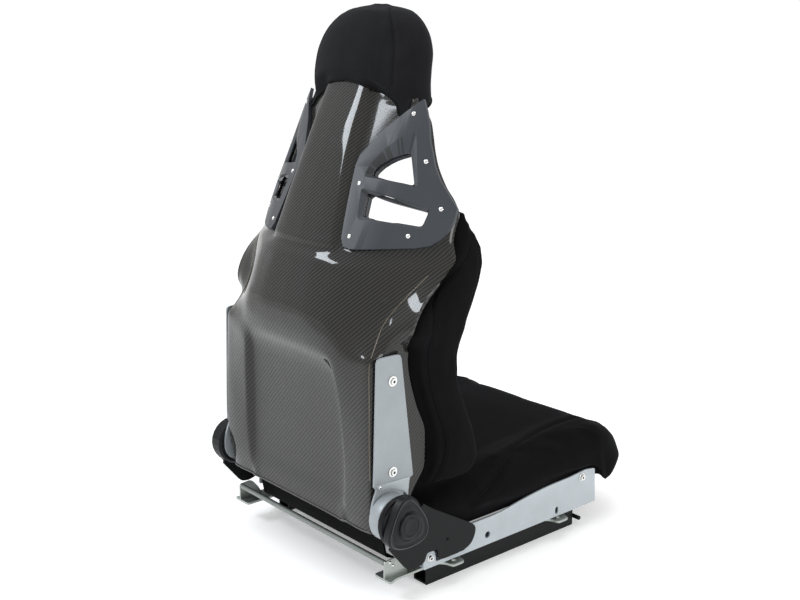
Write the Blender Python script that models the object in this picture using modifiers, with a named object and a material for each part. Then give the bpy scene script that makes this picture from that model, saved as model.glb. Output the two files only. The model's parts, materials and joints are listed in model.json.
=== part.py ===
# Racing seat: carbon-backed bucket seat with a reclining backrest on slider rails.
# Metres, +Z up, floor at z = 0. The occupant faces -Y; +X is the occupant's left.
# Every right-hand piece (x < 0) has a mirrored left-hand twin.
import bpy
import bmesh
import math
import numpy as np
from mathutils import Matrix, Vector
from mathutils.bvhtree import BVHTree

# ---------------------------------------------------------------- dimensions
RAIL_W = 0.196            # rail centre line from the seat's centre plane
RAIL_OUT = 0.212          # outer wall of the floor rail
RAIL_IN = 0.180
RAIL_H = 0.036
RAIL_Y0, RAIL_Y1 = -0.150, 0.214
CARRIER_Z = 0.0363        # underside of the bolting plate
CARRIER_T = 0.004
EAR_W = 0.2335            # bolting holes of the ears
EAR_Y = (0.172, -0.087)
EAR_R = 0.0045
TUBE_Y, TUBE_Z, TUBE_R = 0.300, 0.066, 0.0048
AXIS_Y, AXIS_Z = 0.300, 0.153      # recline axis, along X
PLATE_W = 0.235           # side plate
PLATE_T = 0.003
BRACKET_W = 0.2400        # lower recliner bracket
BRACKET_T = 0.005
DISC_R = 0.0420
DISC_W0, DISC_W1 = 0.2122, 0.2368
COVER_R = 0.0430
COVER_W0, COVER_W1 = 0.2430, 0.2515
WHEEL_W0, WHEEL_W1 = 0.2525, 0.2675
CAP_R = 0.0215
ARM_W = 0.2100            # recliner arm on the shell's flank
ARM_T = 0.004
FLANK = 0.2064            # outer face of the shell's flank
SHELL_T = 0.004
SHAFT_R = 0.0055
BAR_Y, BAR_Z, BAR_R = -0.158, 0.0135, 0.004
CUSHION_W = 0.2450
GAP = 0.0003

# harness bezel plane: a point on it and its outward normal, right-hand side
BEZEL_P = Vector((-0.0908, 0.2515, 0.6674))
BEZEL_N = Vector((-0.2845, 0.869, 0.4048)).normalized()

for o in list(bpy.data.objects):
    bpy.data.objects.remove(o, do_unlink=True)
scene = bpy.context.scene
parts = bpy.data.collections.new("racing_seat")
cutters = bpy.data.collections.new("racing_seat_cutters")
scene.collection.children.link(parts)
scene.collection.children.link(cutters)


# ---------------------------------------------------------------- materials
def material(name, colour, rough, metal=0.0, coat=0.0):
    m = bpy.data.materials.new(name)
    m.use_nodes = True
    b = m.node_tree.nodes["Principled BSDF"]
    b.inputs["Base Color"].default_value = (*colour, 1.0)
    b.inputs["Roughness"].default_value = rough
    b.inputs["Metallic"].default_value = metal
    b.inputs["Coat Weight"].default_value = coat
    m.diffuse_color = (*colour, 1.0)
    return m


CARBON = material("carbon", (0.030, 0.029, 0.028), 0.30, 0.0, 1.0)
SUEDE = material("microsuede", (0.010, 0.010, 0.011), 0.95)
BEZEL = material("bezel_plastic", (0.030, 0.033, 0.040), 0.42)
SILVER = material("silver_paint", (0.42, 0.45, 0.46), 0.40, 0.3)
ZINC = material("zinc", (0.55, 0.58, 0.55), 0.38, 0.8)
BLACKSTEEL = material("black_steel", (0.018, 0.018, 0.020), 0.45, 0.2)
BLACKPLASTIC = material("black_plastic", (0.015, 0.016, 0.018), 0.38)
STAINLESS = material("stainless", (0.75, 0.75, 0.73), 0.22, 1.0)
NATURAL = material("natural_plastic", (0.60, 0.58, 0.50), 0.5)


# ---------------------------------------------------------------- helpers
def add(name, mesh, mat, coll=parts):
    o = bpy.data.objects.new(name, mesh)
    coll.objects.link(o)
    mesh.materials.clear()
    mesh.materials.append(mat)
    return o


def finish_mesh(name, bm, mat, angle=40, coll=parts):
    bmesh.ops.remove_doubles(bm, verts=bm.verts, dist=0.00001)
    bmesh.ops.recalc_face_normals(bm, faces=bm.faces)
    me = bpy.data.meshes.new(name)
    bm.to_mesh(me)
    bm.free()
    o = add(name, me, mat, coll)
    me.shade_smooth()
    me.set_sharp_from_angle(angle=math.radians(angle))
    return o


def smooth_loop(points, count):
    """Closed Catmull-Rom loop through the points, count samples per span."""
    p = np.array(points, float)
    n = len(p)
    out = []
    for i in range(n):
        a, b, c, d = p[(i - 1) % n], p[i], p[(i + 1) % n], p[(i + 2) % n]
        for k in range(count):
            t = k / count
            out.append(0.5 * ((2 * b) + (c - a) * t + (2 * a - 5 * b + 4 * c - d) * t * t
                              + (3 * b - a - 3 * c + d) * t ** 3))
    return [tuple(q) for q in out]


def rounded(points, radius, steps=3):
    """Outline with its corners rounded; radius is one number or one per corner."""
    n = len(points)
    rs = radius if isinstance(radius, (list, tuple)) else [radius] * n
    out = []
    for i in range(n):
        p = Vector(points[i])
        a = Vector(points[i - 1]) - p
        b = Vector(points[(i + 1) % n]) - p
        r = min(rs[i], 0.45 * a.length, 0.45 * b.length)
        if r < 1e-5:
            out.append(tuple(p))
            continue
        s, e = p + a.normalized() * r, p + b.normalized() * r
        for k in range(steps + 1):
            t = k / steps
            q = s.lerp(p, t).lerp(p.lerp(e, t), t)
            out.append(tuple(q))
    return out


def circle(cx, cy, r, n=16):
    return [(cx + r * math.cos(2 * math.pi * k / n), cy + r * math.sin(2 * math.pi * k / n))
            for k in range(n)]


def yz_place(x):
    """Local x, y, z to world y, z, x."""
    return Matrix(((0, 0, 1, x), (1, 0, 0, 0), (0, 1, 0, 0), (0, 0, 0, 1)))


def xz_place(y):
    """Local x, y, z to world x, z, -y."""
    return Matrix(((1, 0, 0, 0), (0, 0, -1, y), (0, 1, 0, 0), (0, 0, 0, 1)))


def xy_place(z):
    return Matrix.Translation((0, 0, z))


def plate_mesh(name, outlines, thickness, place):
    """Flat outline with holes, given a thickness, as a welded mesh in world space."""
    cu = bpy.data.curves.new(name, "CURVE")
    cu.dimensions = "2D"
    cu.fill_mode = "BOTH"
    cu.extrude = thickness / 2
    for pts in outlines:
        s = cu.splines.new("POLY")
        s.points.add(len(pts) - 1)
        for i, q in enumerate(pts):
            s.points[i].co = (q[0], q[1], 0, 1)
        s.use_cyclic_u = True
    ob = bpy.data.objects.new(name, cu)
    scene.collection.objects.link(ob)
    bpy.context.view_layer.update()
    dg = bpy.context.evaluated_depsgraph_get()
    me = bpy.data.meshes.new_from_object(ob.evaluated_get(dg))
    bm = bmesh.new()
    bm.from_mesh(me)
    bpy.data.objects.remove(ob, do_unlink=True)
    bpy.data.curves.remove(cu)
    bpy.data.meshes.remove(me)
    bmesh.ops.remove_doubles(bm, verts=bm.verts, dist=0.00002)
    bmesh.ops.transform(bm, matrix=place, verts=bm.verts)
    return bm


def plate(name, outlines, thickness, place, mat, bevel=0.0, segments=1, coll=parts):
    bm = plate_mesh(name, outlines, thickness, place)
    o = finish_mesh(name, bm, mat, coll=coll)
    if bevel:
        b = o.modifiers.new("edges", "BEVEL")
        b.width = bevel
        b.segments = segments
        b.limit_method = "ANGLE"
        b.angle_limit = math.radians(50)
    return o


def turned(name, profile, place, mat, steps=24, coll=parts):
    """Profile of (radius, height) turned about the local Z axis."""
    me = bpy.data.meshes.new(name)
    closed = profile[0][0] > 1e-6
    n = len(profile)
    edges = [(i, i + 1) for i in range(n - 1)] + ([(n - 1, 0)] if closed else [])
    me.from_pydata([(r, 0, h) for r, h in profile], edges, [])
    o = add(name, me, mat, coll)
    s = o.modifiers.new("turn", "SCREW")
    s.steps = steps
    s.render_steps = steps
    s.use_merge_vertices = True
    s.merge_threshold = 0.00001
    s.use_smooth_shade = True
    o.matrix_world = place
    return o


def x_axis_place(x, y, z, out):
    """Local Z along world X, outwards for out = +1 or -1."""
    if out > 0:
        r = Matrix(((0, 0, 1), (1, 0, 0), (0, 1, 0)))
    else:
        r = Matrix(((0, 0, -1), (-1, 0, 0), (0, 1, 0)))
    m = r.to_4x4()
    m.translation = Vector((x, y, z))
    return m


def tube(name, pts, radius, mat, resolution=3):
    cu = bpy.data.curves.new(name, "CURVE")
    cu.dimensions = "3D"
    cu.bevel_depth = radius
    cu.bevel_resolution = resolution
    cu.use_fill_caps = True
    s = cu.splines.new("POLY")
    s.points.add(len(pts) - 1)
    for i, q in enumerate(pts):
        s.points[i].co = (*q, 1)
    ob = bpy.data.objects.new(name + "_curve", cu)
    scene.collection.objects.link(ob)
    bpy.context.view_layer.update()
    dg = bpy.context.evaluated_depsgraph_get()
    me = bpy.data.meshes.new_from_object(ob.evaluated_get(dg))
    bm = bmesh.new()
    bm.from_mesh(me)
    bpy.data.objects.remove(ob, do_unlink=True)
    bpy.data.curves.remove(cu)
    bpy.data.meshes.remove(me)
    return finish_mesh(name, bm, mat)


def loft(name, rings, mat, angle=60):
    """Closed body through rings of equal point counts, flat at both ends."""
    bm = bmesh.new()
    vs = [[bm.verts.new(p) for p in ring] for ring in rings]
    n = len(rings[0])
    for a, b in zip(vs[:-1], vs[1:]):
        for i in range(n):
            bm.faces.new((a[i], a[(i + 1) % n], b[(i + 1) % n], b[i]))
    bm.faces.new(vs[0])
    bm.faces.new(list(reversed(vs[-1])))
    return finish_mesh(name, bm, mat, angle)


def box(name, lo, hi, mat, bevel=0.0, coll=parts):
    bm = bmesh.new()
    bmesh.ops.create_cube(bm, size=1)
    lo, hi = Vector(lo), Vector(hi)
    for v in bm.verts:
        v.co = Vector(((lo[i] + hi[i]) / 2 + v.co[i] * (hi[i] - lo[i]) for i in range(3)))
    o = finish_mesh(name, bm, mat, coll=coll)
    if bevel:
        b = o.modifiers.new("edges", "BEVEL")
        b.width = bevel
        b.segments = 2
    return o


def as_cutter(o):
    o.hide_render = True
    o.display_type = "WIRE"
    return o


def boolean(o, tool, how="DIFFERENCE"):
    m = o.modifiers.new(tool.name, "BOOLEAN")
    m.object = tool
    m.operation = how
    m.solver = "EXACT"
    return m


def interp(z, zs, vs):
    return float(np.interp(z, zs, vs))


SIDES = (("right", -1), ("left", 1))

# ---------------------------------------------------------------- the shell's form
# spine crease: height, half width, depth
CREASE = np.array([(0.569, 0.0760, 0.3020), (0.600, 0.0715, 0.2910), (0.639, 0.0670, 0.2770),
                   (0.669, 0.0620, 0.2660), (0.720, 0.0550, 0.2470), (0.769, 0.0510, 0.2265),
                   (0.810, 0.0480, 0.2070)])
# outer edge of the shoulder wing: height, half width
WING = np.array([(0.560, 0.2460), (0.575, 0.2400), (0.590, 0.2340), (0.610, 0.2330), (0.630, 0.2320),
                 (0.650, 0.2165), (0.672, 0.1985), (0.697, 0.1845), (0.731, 0.1690),
                 (0.761, 0.1605), (0.776, 0.1520), (0.793, 0.1440)])
BEZEL_T = 0.0062


def plane_y(w, z):
    """Depth of the bezel plane at half width w and height z."""
    n = BEZEL_N
    return BEZEL_P.y - (n.x * (-w - BEZEL_P.x) + n.z * (z - BEZEL_P.z)) / n.y


def ramp(t, soft=0.020):
    if t < -soft:
        return 0.0
    return t if t > soft else (t + soft) ** 2 / (4 * soft)


def bezel_y(w, z):
    """Bezel face: flat beside the spine, turned forwards along its outer half."""
    return plane_y(w, z) - 0.42 * ramp(w - 0.138)


def floor_y(w, z, t=BEZEL_T + 3 * GAP):
    """The face of a layer t under the bezel face, measured along the plane's normal."""
    return bezel_y(w - BEZEL_N.x * t, z + BEZEL_N.z * t) - BEZEL_N.y * t


def lower_row(z, rim, pocket, flank_front, top_w=0.110):
    """Section of the lower back: knee pocket in the middle, flat rim, straight flank."""
    f = rim - pocket
    k = interp(z, (0.12, 0.24, 0.40), (0.138, 0.141, top_w))
    corner = interp(z, (0.121, 0.175, 0.222, 0.30, 0.40), (0.194, 0.2010, 0.2040, 0.2020, 0.1985))
    edge = interp(z, (0.121, 0.175, 0.222, 0.27, 0.32, 0.40), (0.320, 0.326, 0.3275, 0.3270, 0.3250, 0.3225))
    return [(0, f), (0.05, f), (k - 0.035, f + 0.001), (k - 0.016, f + 0.003), (k, rim - 0.001),
            (0.45 * k + 0.55 * corner, 0.45 * rim + 0.55 * edge + 0.0015), (corner, edge),
            (FLANK, 0.5 * (edge + flank_front)), (FLANK, flank_front)]


ROWS = [
    (0.121, lower_row(0.121, 0.3215, 0.000, 0.262)),
    (0.145, lower_row(0.145, 0.3255, 0.005, 0.256)),
    (0.175, lower_row(0.175, 0.3280, 0.011, 0.241)),
    (0.222, lower_row(0.222, 0.3295, 0.014, 0.2140)),
    (0.270, lower_row(0.270, 0.3310, 0.015, 0.2145)),
    (0.320, lower_row(0.320, 0.3335, 0.015, 0.2330)),
    (0.365, lower_row(0.365, 0.3370, 0.014, 0.2465)),
    (0.392, lower_row(0.392, 0.3405, 0.011, 0.2515)),
    (0.410, [(0, 0.3440), (0.05, 0.3440), (0.080, 0.3430), (0.105, 0.3415), (0.130, 0.3375),
             (0.165, 0.3310), (0.1985, 0.3200), (0.2062, 0.270), (0.2084, 0.2525)]),
    (0.4170, [(0, 0.3448), (0.05, 0.3447), (0.0826, 0.3433), (0.1066, 0.3413), (0.1323, 0.3367),
              (0.165, 0.3287), (0.1957, 0.3142), (0.2064, 0.2715), (0.2074, 0.2528)]),
    (0.430, [(0, 0.3465), (0.05, 0.3460), (0.088, 0.3440), (0.110, 0.3410), (0.137, 0.3350),
             (0.165, 0.3240), (0.1900, 0.3020), (0.2180, 0.2890), (0.2380, 0.2745)]),
    (0.456, [(0, 0.3455), (0.05, 0.3450), (0.088, 0.3415), (0.112, 0.3370), (0.138, 0.3260),
             (0.160, 0.3060), (0.1810, 0.2770), (0.2180, 0.2790), (0.2415, 0.2710)]),
    (0.481, [(0, 0.3400), (0.05, 0.3390), (0.088, 0.3345), (0.114, 0.3270), (0.142, 0.3100),
             (0.168, 0.2840), (0.1915, 0.2600), (0.2180, 0.2610), (0.2385, 0.2580)]),
    (0.508, [(0, 0.3320), (0.05, 0.3310), (0.085, 0.3255), (0.113, 0.3170), (0.145, 0.2995),
             (0.180, 0.2770), (0.2120, 0.2560), (0.2310, 0.250), (0.2440, 0.2430)]),
    (0.530, [(0, 0.3245), (0.048, 0.323), (0.081, 0.3170), (0.111, 0.3080), (0.150, 0.2880),
             (0.190, 0.2620), (0.2240, 0.2350), (0.2380, 0.222), (0.2460, 0.2110)]),
    (0.550, [(0, 0.3175), (0.045, 0.3160), (0.078, 0.3090), (0.105, 0.2990), (0.150, 0.2765),
             (0.195, 0.2465), (0.2330, 0.2145), (0.2420, 0.204), (0.2480, 0.1950)]),
]


def wing_row(z):
    cw = interp(z, CREASE[:, 0], CREASE[:, 1])
    cy = interp(z, CREASE[:, 0], CREASE[:, 2])
    out = interp(z, WING[:, 0], WING[:, 1])
    crown = interp(z, (0.569, 0.81), (0.0085, 0.0045))
    foot = cw + 0.011
    cols = [(0, cy + crown), (cw * 0.6, cy + crown * 0.75), (cw, cy), (foot, floor_y(foot, z))]
    d = min(0.040, 0.9 * (out - 0.0015 - 0.118))
    for k in (0, 0.5, 1):
        w = 0.118 + d * k
        cols.append((w, floor_y(w, z)))
    cols.append((out - 0.0015, floor_y(out, z) - 0.0005))
    cols.append((out, floor_y(out, z) - 0.0090))
    return cols


for z in (0.562, 0.585, 0.605, 0.625, 0.644, 0.664, 0.690, 0.715, 0.740, 0.765, 0.785, 0.798):
    ROWS.append((z, wing_row(z)))

# tongue inside the head pad
for z, y, w in ((0.8012, 0.2020, 0.106), (0.812, 0.1985, 0.105), (0.845, 0.1870, 0.101),
                (0.878, 0.1745, 0.090), (0.902, 0.1650, 0.070)):
    ROWS.append((z, [(w * k, y - 0.020 * k * k) for k in
                     (0, 0.2, 0.4, 0.5, 0.62, 0.74, 0.86, 0.95, 1.0)]))


def shell_y(w, z):
    """Depth of the shell's outer face at half width w and height z."""
    w = abs(w)
    zs = [r[0] for r in ROWS]
    i = int(np.clip(np.searchsorted(zs, z) - 1, 0, len(zs) - 2))
    t = min(max((z - zs[i]) / (zs[i + 1] - zs[i]), 0), 1)
    ya = np.interp(w, [c[0] for c in ROWS[i][1][:8]], [c[1] for c in ROWS[i][1][:8]])
    yb = np.interp(w, [c[0] for c in ROWS[i + 1][1][:8]], [c[1] for c in ROWS[i + 1][1][:8]])
    return float(ya * (1 - t) + yb * t)


bm = bmesh.new()
grid = [[bm.verts.new((w, y, z)) for w, y in cols] for z, cols in ROWS]
for a, b in zip(grid[:-1], grid[1:]):
    for i in range(len(a) - 1):
        bm.faces.new((a[i], b[i], b[i + 1], a[i + 1]))
me = bpy.data.meshes.new("back_shell")
bm.to_mesh(me)
bm.free()
back_shell = add("back_shell", me, CARBON)
me.shade_smooth()
m = back_shell.modifiers.new("halves", "MIRROR")
m.merge_threshold = 0.0001
m = back_shell.modifiers.new("wall", "SOLIDIFY")
m.thickness = SHELL_T
m.offset = -1

# ---------------------------------------------------------------- harness bezels
# outlines in the front view: half width, height
OUTLINE = [(0.1480, 0.7975), (0.1565, 0.7810), (0.1650, 0.7620), (0.1734, 0.7360), (0.1820, 0.7175),
           (0.1895, 0.7000), (0.2032, 0.6772), (0.2210, 0.6553), (0.2363, 0.6367), (0.2375, 0.6240),
           (0.2365, 0.6120), (0.2341, 0.6012), (0.2286, 0.5893), (0.2184, 0.5800), (0.2020, 0.5755),
           (0.1112, 0.5680), (0.0988, 0.5709), (0.0910, 0.5825), (0.0855, 0.6091), (0.0778, 0.6544),
           (0.0725, 0.6920), (0.0741, 0.7080), (0.0794, 0.7175), (0.0906, 0.7350), (0.1019, 0.7510),
           (0.1208, 0.7700)]
WIN_UP = [(0.1530, 0.7175), (0.1715, 0.6687), (0.1020, 0.6800), (0.1090, 0.6940), (0.1260, 0.7070),
          (0.1420, 0.7145)]
WIN_LOW = [(0.1070, 0.6540), (0.1120, 0.6180), (0.1990, 0.6080), (0.2010, 0.6310)]


def plane_prism(name, outlines, side, n0, n1, mat, coll=parts):
    """Outlines laid on the bezel face, solid between offsets n0 and n1 along its normal."""
    bm = plate_mesh(name, outlines, 2.0, Matrix.Identity(4))
    bmesh.ops.dissolve_limit(bm, angle_limit=0.001, verts=bm.verts, edges=bm.edges)
    for k in range(5):
        geom = bm.verts[:] + bm.edges[:] + bm.faces[:]
        bmesh.ops.bisect_plane(bm, geom=geom, dist=1e-6, plane_co=(0.118 + 0.010 * k, 0, 0),
                               plane_no=(1, 0, 0))
    for v in bm.verts:
        n = n0 if v.co.z < 0 else n1
        w, z = v.co.x, v.co.y
        v.co = (side * (w - BEZEL_N.x * n), bezel_y(w, z) + BEZEL_N.y * n, z + BEZEL_N.z * n)
    return finish_mesh(name, bm, mat, coll=coll)


def inset(points, d):
    """Outline moved inwards by d (outwards when negative), corner by corner."""
    n = len(points)
    area = sum(points[i - 1][0] * points[i][1] - points[i][0] * points[i - 1][1] for i in range(n))
    s = 1 if area > 0 else -1
    out = []
    for i in range(n):
        p0, p1, p2 = (Vector(points[(i + k) % n]) for k in (-1, 0, 1))
        a, b = (p1 - p0).normalized(), (p2 - p1).normalized()
        na, nb = Vector((-a.y, a.x)) * s, Vector((-b.y, b.x)) * s
        m = (na + nb).normalized()
        out.append(tuple(p1 + m * (d / max(m.dot(na), 0.5))))
    return out


OUTER = OUTLINE
HOLE_UP = rounded(WIN_UP, 0.005, 1)
HOLE_LOW = rounded(WIN_LOW, 0.005, 1)

for tag, side in SIDES:
    for k, hole in enumerate((HOLE_UP, HOLE_LOW)):
        c = plane_prism("window_cutter_%s_%d" % (tag, k), [inset(hole, -0.003)], side, -0.060, 0.030,
                        CARBON, cutters)
        boolean(back_shell, as_cutter(c))

# ---------------------------------------------------------------- arm bolts and their holes
ARM_BOLTS = ((0.288, 0.374, "upper"), (0.288, 0.223, "lower"))
for by, bz, tag in ARM_BOLTS:
    c = turned("arm_bolt_cutter_" + tag, [(0, 0.25), (0.0045, 0.25), (0.0045, -0.25), (0, -0.25)],
               x_axis_place(0, by, bz, 1), CARBON, 12, cutters)
    boolean(back_shell, as_cutter(c))
c = turned("shaft_cutter", [(0, 0.25), (0.0120, 0.25), (0.0120, -0.25), (0, -0.25)],
           x_axis_place(0, AXIS_Y, AXIS_Z, 1), CARBON, 16, cutters)
boolean(back_shell, as_cutter(c))


def washer_bolt(name, x, y, z, side, washer_r=0.0085, head_r=0.0062, shank=0.012, shank_r=0.0040):
    """Pan-head socket bolt on a wide washer, head outwards, seat face at x."""
    prof = [(0, 0.0024), (0.0025, 0.0052), (head_r - 0.0010, 0.0052), (head_r, 0.0018),
            (washer_r, 0.0016), (washer_r, 0.0003), (shank_r, 0.0003), (shank_r, -shank), (0, -shank)]
    return turned(name, prof, x_axis_place(side * x, y, z, side), STAINLESS, 12)


for tag, side in SIDES:
    for by, bz, pos in ARM_BOLTS:
        washer_bolt("arm_bolt_%s_%s" % (tag, pos), ARM_W + ARM_T / 2, by, bz, side)

# recliner arm: plate on the shell's flank, neck and eye round the recline axis
ARM_OUT = rounded([(0.3185, 0.4150), (0.2700, 0.4150), (0.2445, 0.2060), (0.2520, 0.2030),
                   (0.2550, 0.1960), (0.2640, 0.1910), (0.2660, 0.1640), (0.2700, 0.1380),
                   (0.2860, 0.1230), (0.3000, 0.1200), (0.3160, 0.1230), (0.3300, 0.1380),
                   (0.3330, 0.1560), (0.3290, 0.1800), (0.3200, 0.2000), (0.3255, 0.2050)],
                  [0.008, 0.008, 0.003, 0.003, 0.003, 0.004, 0.008, 0.010, 0.010, 0.010, 0.010, 0.010,
                   0.010, 0.010, 0.004, 0.002], 2)
for tag, side in SIDES:
    plate("recliner_arm_" + tag,
          [ARM_OUT, circle(AXIS_Y, AXIS_Z, 0.0080), circle(0.288, 0.374, 0.0045, 10),
           circle(0.288, 0.223, 0.0045, 10)],
          ARM_T, yz_place(side * ARM_W), SILVER)

# harness bezels and front trim rings
for tag, side in SIDES:
    plane_prism("harness_bezel_" + tag, [OUTER, HOLE_UP, HOLE_LOW], side, -BEZEL_T, 0.0, BEZEL)
    plane_prism("shoulder_pad_" + tag,
                [inset(OUTER, 0.0095), inset(HOLE_UP, -0.0065), inset(HOLE_LOW, -0.0065)],
                side, -0.0215, -0.0125, SUEDE)
    for k, hole in (("upper", HOLE_UP), ("lower", HOLE_LOW)):
        plane_prism("harness_trim_%s_%s" % (tag, k), [inset(hole, -0.0055), hole], side,
                    -0.0225, -0.0122, BEZEL)

# ---------------------------------------------------------------- head pad
HEAD = [  # height, centre depth, half width, half depth
    (0.8035, 0.1540, 0.1190, 0.0560), (0.815, 0.1535, 0.1230, 0.0600), (0.835, 0.1515, 0.1255, 0.0630),
    (0.860, 0.1470, 0.1230, 0.0630), (0.885, 0.1425, 0.1140, 0.0600), (0.905, 0.1390, 0.1000, 0.0550),
    (0.922, 0.1350, 0.0800, 0.0470), (0.934, 0.1320, 0.0560, 0.0350), (0.9405, 0.1300, 0.0280, 0.0190)]
rings = []
for z, y, a, b in HEAD:
    ring = []
    for k in range(18):
        t = 2 * math.pi * k / 18
        c, s = math.cos(t), math.sin(t)
        e = 2 / 2.3
        ring.append((a * math.copysign(abs(c) ** e, c), y + b * math.copysign(abs(s) ** e, s), z))
    rings.append(ring)
head_pad = loft("head_pad", rings, SUEDE)
# pocket for the shell's tongue
rings = []
for z, w, ahead in ((0.795, 0.1120, 0.014), (0.8065, 0.1120, 0.011), (0.812, 0.1110, 0.009),
                    (0.845, 0.1070, 0.0085), (0.878, 0.0960, 0.0085), (0.9055, 0.0775, 0.0085)):
    front, rear = [], []
    for k in range(-5, 6):
        x = w * k / 5
        y = shell_y(min(abs(x), w - 0.006), min(max(z, 0.8012), 0.902))
        rear.append((x, y + 0.0040, z))
        front.append((x, y - ahead - 0.0040, z))
    rings.append(rear + front[::-1])
boolean(head_pad, as_cutter(loft("tongue_cutter", rings, SUEDE)))
cutters.objects.link(bpy.data.objects["tongue_cutter"])
parts.objects.unlink(bpy.data.objects["tongue_cutter"])

# ---------------------------------------------------------------- backrest pad
PAD = [  # height, half width, front depth
    (0.185, 0.140, 0.2700), (0.200, 0.143, 0.2620), (0.250, 0.1435, 0.2580), (0.310, 0.1435, 0.2600),
    (0.360, 0.1435, 0.2640), (0.400, 0.1435, 0.2720), (0.440, 0.1435, 0.2760), (0.480, 0.1400, 0.2720),
    (0.520, 0.1280, 0.2640), (0.552, 0.1050, 0.2560), (0.575, 0.0640, 0.2490), (0.640, 0.0570, 0.2240),
    (0.700, 0.0480, 0.2000), (0.760, 0.0420, 0.1760), (0.792, 0.0390, 0.1670)]
rings = []
for z, hw, yf in PAD:
    rear, front = [], []
    for k in range(-4, 5):
        x = hw * k / 4
        side_in = (abs(k) / 4) ** 4
        ys = min(shell_y(abs(x) + d, z + e) for d in (0, 0.008, -0.008) for e in (0, 0.014, -0.014))
        yr = min(ys - 0.0085, shell_y(0, z) - 0.0085)
        rear.append((x, yr, z))
        front.append((x * 0.985, min(yf + 0.012 * side_in, yr - 0.006), z))
    rings.append(rear + front[::-1])
loft("backrest_pad", rings, SUEDE)

# ---------------------------------------------------------------- backrest side bolsters
BOLSTER = [  # height, rear edge w, rear edge y, outermost w, front y, inner w
    (0.181, 0.2050, 0.2330, 0.2260, 0.1130, 0.1560), (0.200, 0.2050, 0.2170, 0.2320, 0.1040, 0.1510),
    (0.230, 0.2050, 0.2115, 0.2350, 0.1070, 0.1500), (0.265, 0.2050, 0.2110, 0.2350, 0.1180, 0.1500),
    (0.305, 0.2050, 0.2260, 0.2340, 0.1340, 0.1500), (0.350, 0.2050, 0.2420, 0.2330, 0.1510, 0.1500),
    (0.395, 0.2060, 0.2500, 0.2330, 0.1600, 0.1500), (0.416, 0.2060, 0.2500, 0.2370, 0.1590, 0.1510),
    (0.432, 0.2200, 0.2580, 0.2410, 0.1570, 0.1515), (0.446, 0.2330, 0.2610, 0.2440, 0.1550, 0.1520),
    (0.464, 0.2330, 0.2540, 0.2450, 0.1490, 0.1535),
    (0.480, 0.2350, 0.2560, 0.2460, 0.1435, 0.1550), (0.515, 0.2370, 0.2330, 0.2470, 0.1320, 0.1600),
    (0.545, 0.2390, 0.2000, 0.2480, 0.1275, 0.1680), (0.575, 0.2360, 0.1770, 0.2460, 0.1320, 0.1800),
    (0.605, 0.2300, 0.1690, 0.2390, 0.1440, 0.1920), (0.628, 0.2250, 0.1640, 0.2330, 0.1500, 0.2040)]


def bolster_ring(z, wb, yb, wo, yf, wi, behind):
    """Cross-section; behind(w) is the furthest back the cushion may reach at half width w."""
    w1, w2, w3 = wi + 0.004, 0.5 * (wi + wb), wb - 0.005
    rear = [(w1, min(behind(w1), yb + 0.014)), (w2, min(behind(w2), yb + 0.012)),
            (w3, min(behind(w3), yb + 0.006)), (wb, min(behind(wb), yb - 0.0012))]
    ye = rear[-1][1]
    wm = 0.5 * (wb + wo) + 0.002
    rear.append((wm, min(behind(wm), ye - 0.008)))
    yo = min(0.5 * (ye + yf) + 0.006, behind(wo))
    rear.append((wo, max(yo, yf + 0.006)))
    front = [(wo - 0.002, 0.35 * yo + 0.65 * yf), (wo - 0.012, yf + 0.004), (wo - 0.026, yf),
             (wi + 0.018, yf + 0.008)]
    yi = rear[0][1]
    front.append((wi + 0.002, yf + 0.5 * max(yi - yf, 0.008)))
    return rear + [(w, min(y, yi - 0.004) if w < wi + 0.02 else y) for w, y in front]


def tree_of(o):
    bpy.context.view_layer.update()
    return BVHTree.FromObject(o, bpy.context.evaluated_depsgraph_get())


shell_tree = tree_of(back_shell)
pad_tree = {t: tree_of(bpy.data.objects["shoulder_pad_" + t]) for t, _ in SIDES}


def clear_of(trees, x, y, z, gap):
    """Depth no further back than the first thing behind the cushion, less the gap."""
    for tree in trees:
        for dx, dz in ((0, 0), (0.005, 0), (-0.005, 0), (0, 0.010), (0, -0.010), (0, 0.020), (0, -0.020)):
            hit = tree.ray_cast(Vector((x + dx, -0.5, z + dz)), Vector((0, 1, 0)))[0]
            if hit is not None:
                y = min(y, hit.y - gap)
    return y


for tag, side in SIDES:
    rings = []
    for r in BOLSTER:
        def behind(w):
            return clear_of((shell_tree, pad_tree[tag]), side * w, 1.0, r[0], 0.0030)
        rings.append([(side * w, y, r[0]) for w, y in bolster_ring(*r, behind)])
    loft("back_bolster_" + tag, rings, SUEDE)

# ---------------------------------------------------------------- seat cushion
PROFILE = [  # depth, height: closed side outline, from the rear over the top to the nose
    (0.2520, 0.1180), (0.2420, 0.1340), (0.2000, 0.1400), (0.1200, 0.1410), (0.0300, 0.1470),
    (-0.0700, 0.1570), (-0.1600, 0.1675), (-0.2250, 0.1715), (-0.2600, 0.1610), (-0.2850, 0.1380),
    (-0.2965, 0.1080), (-0.2930, 0.0790), (-0.2740, 0.0610), (-0.2450, 0.0590), (-0.2150, 0.0700),
    (-0.1960, 0.0885), (-0.1500, 0.0885), (-0.0500, 0.0885), (0.0500, 0.0885), (0.1200, 0.0885),
    (0.1550, 0.0885), (0.2400, 0.0885)]


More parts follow.
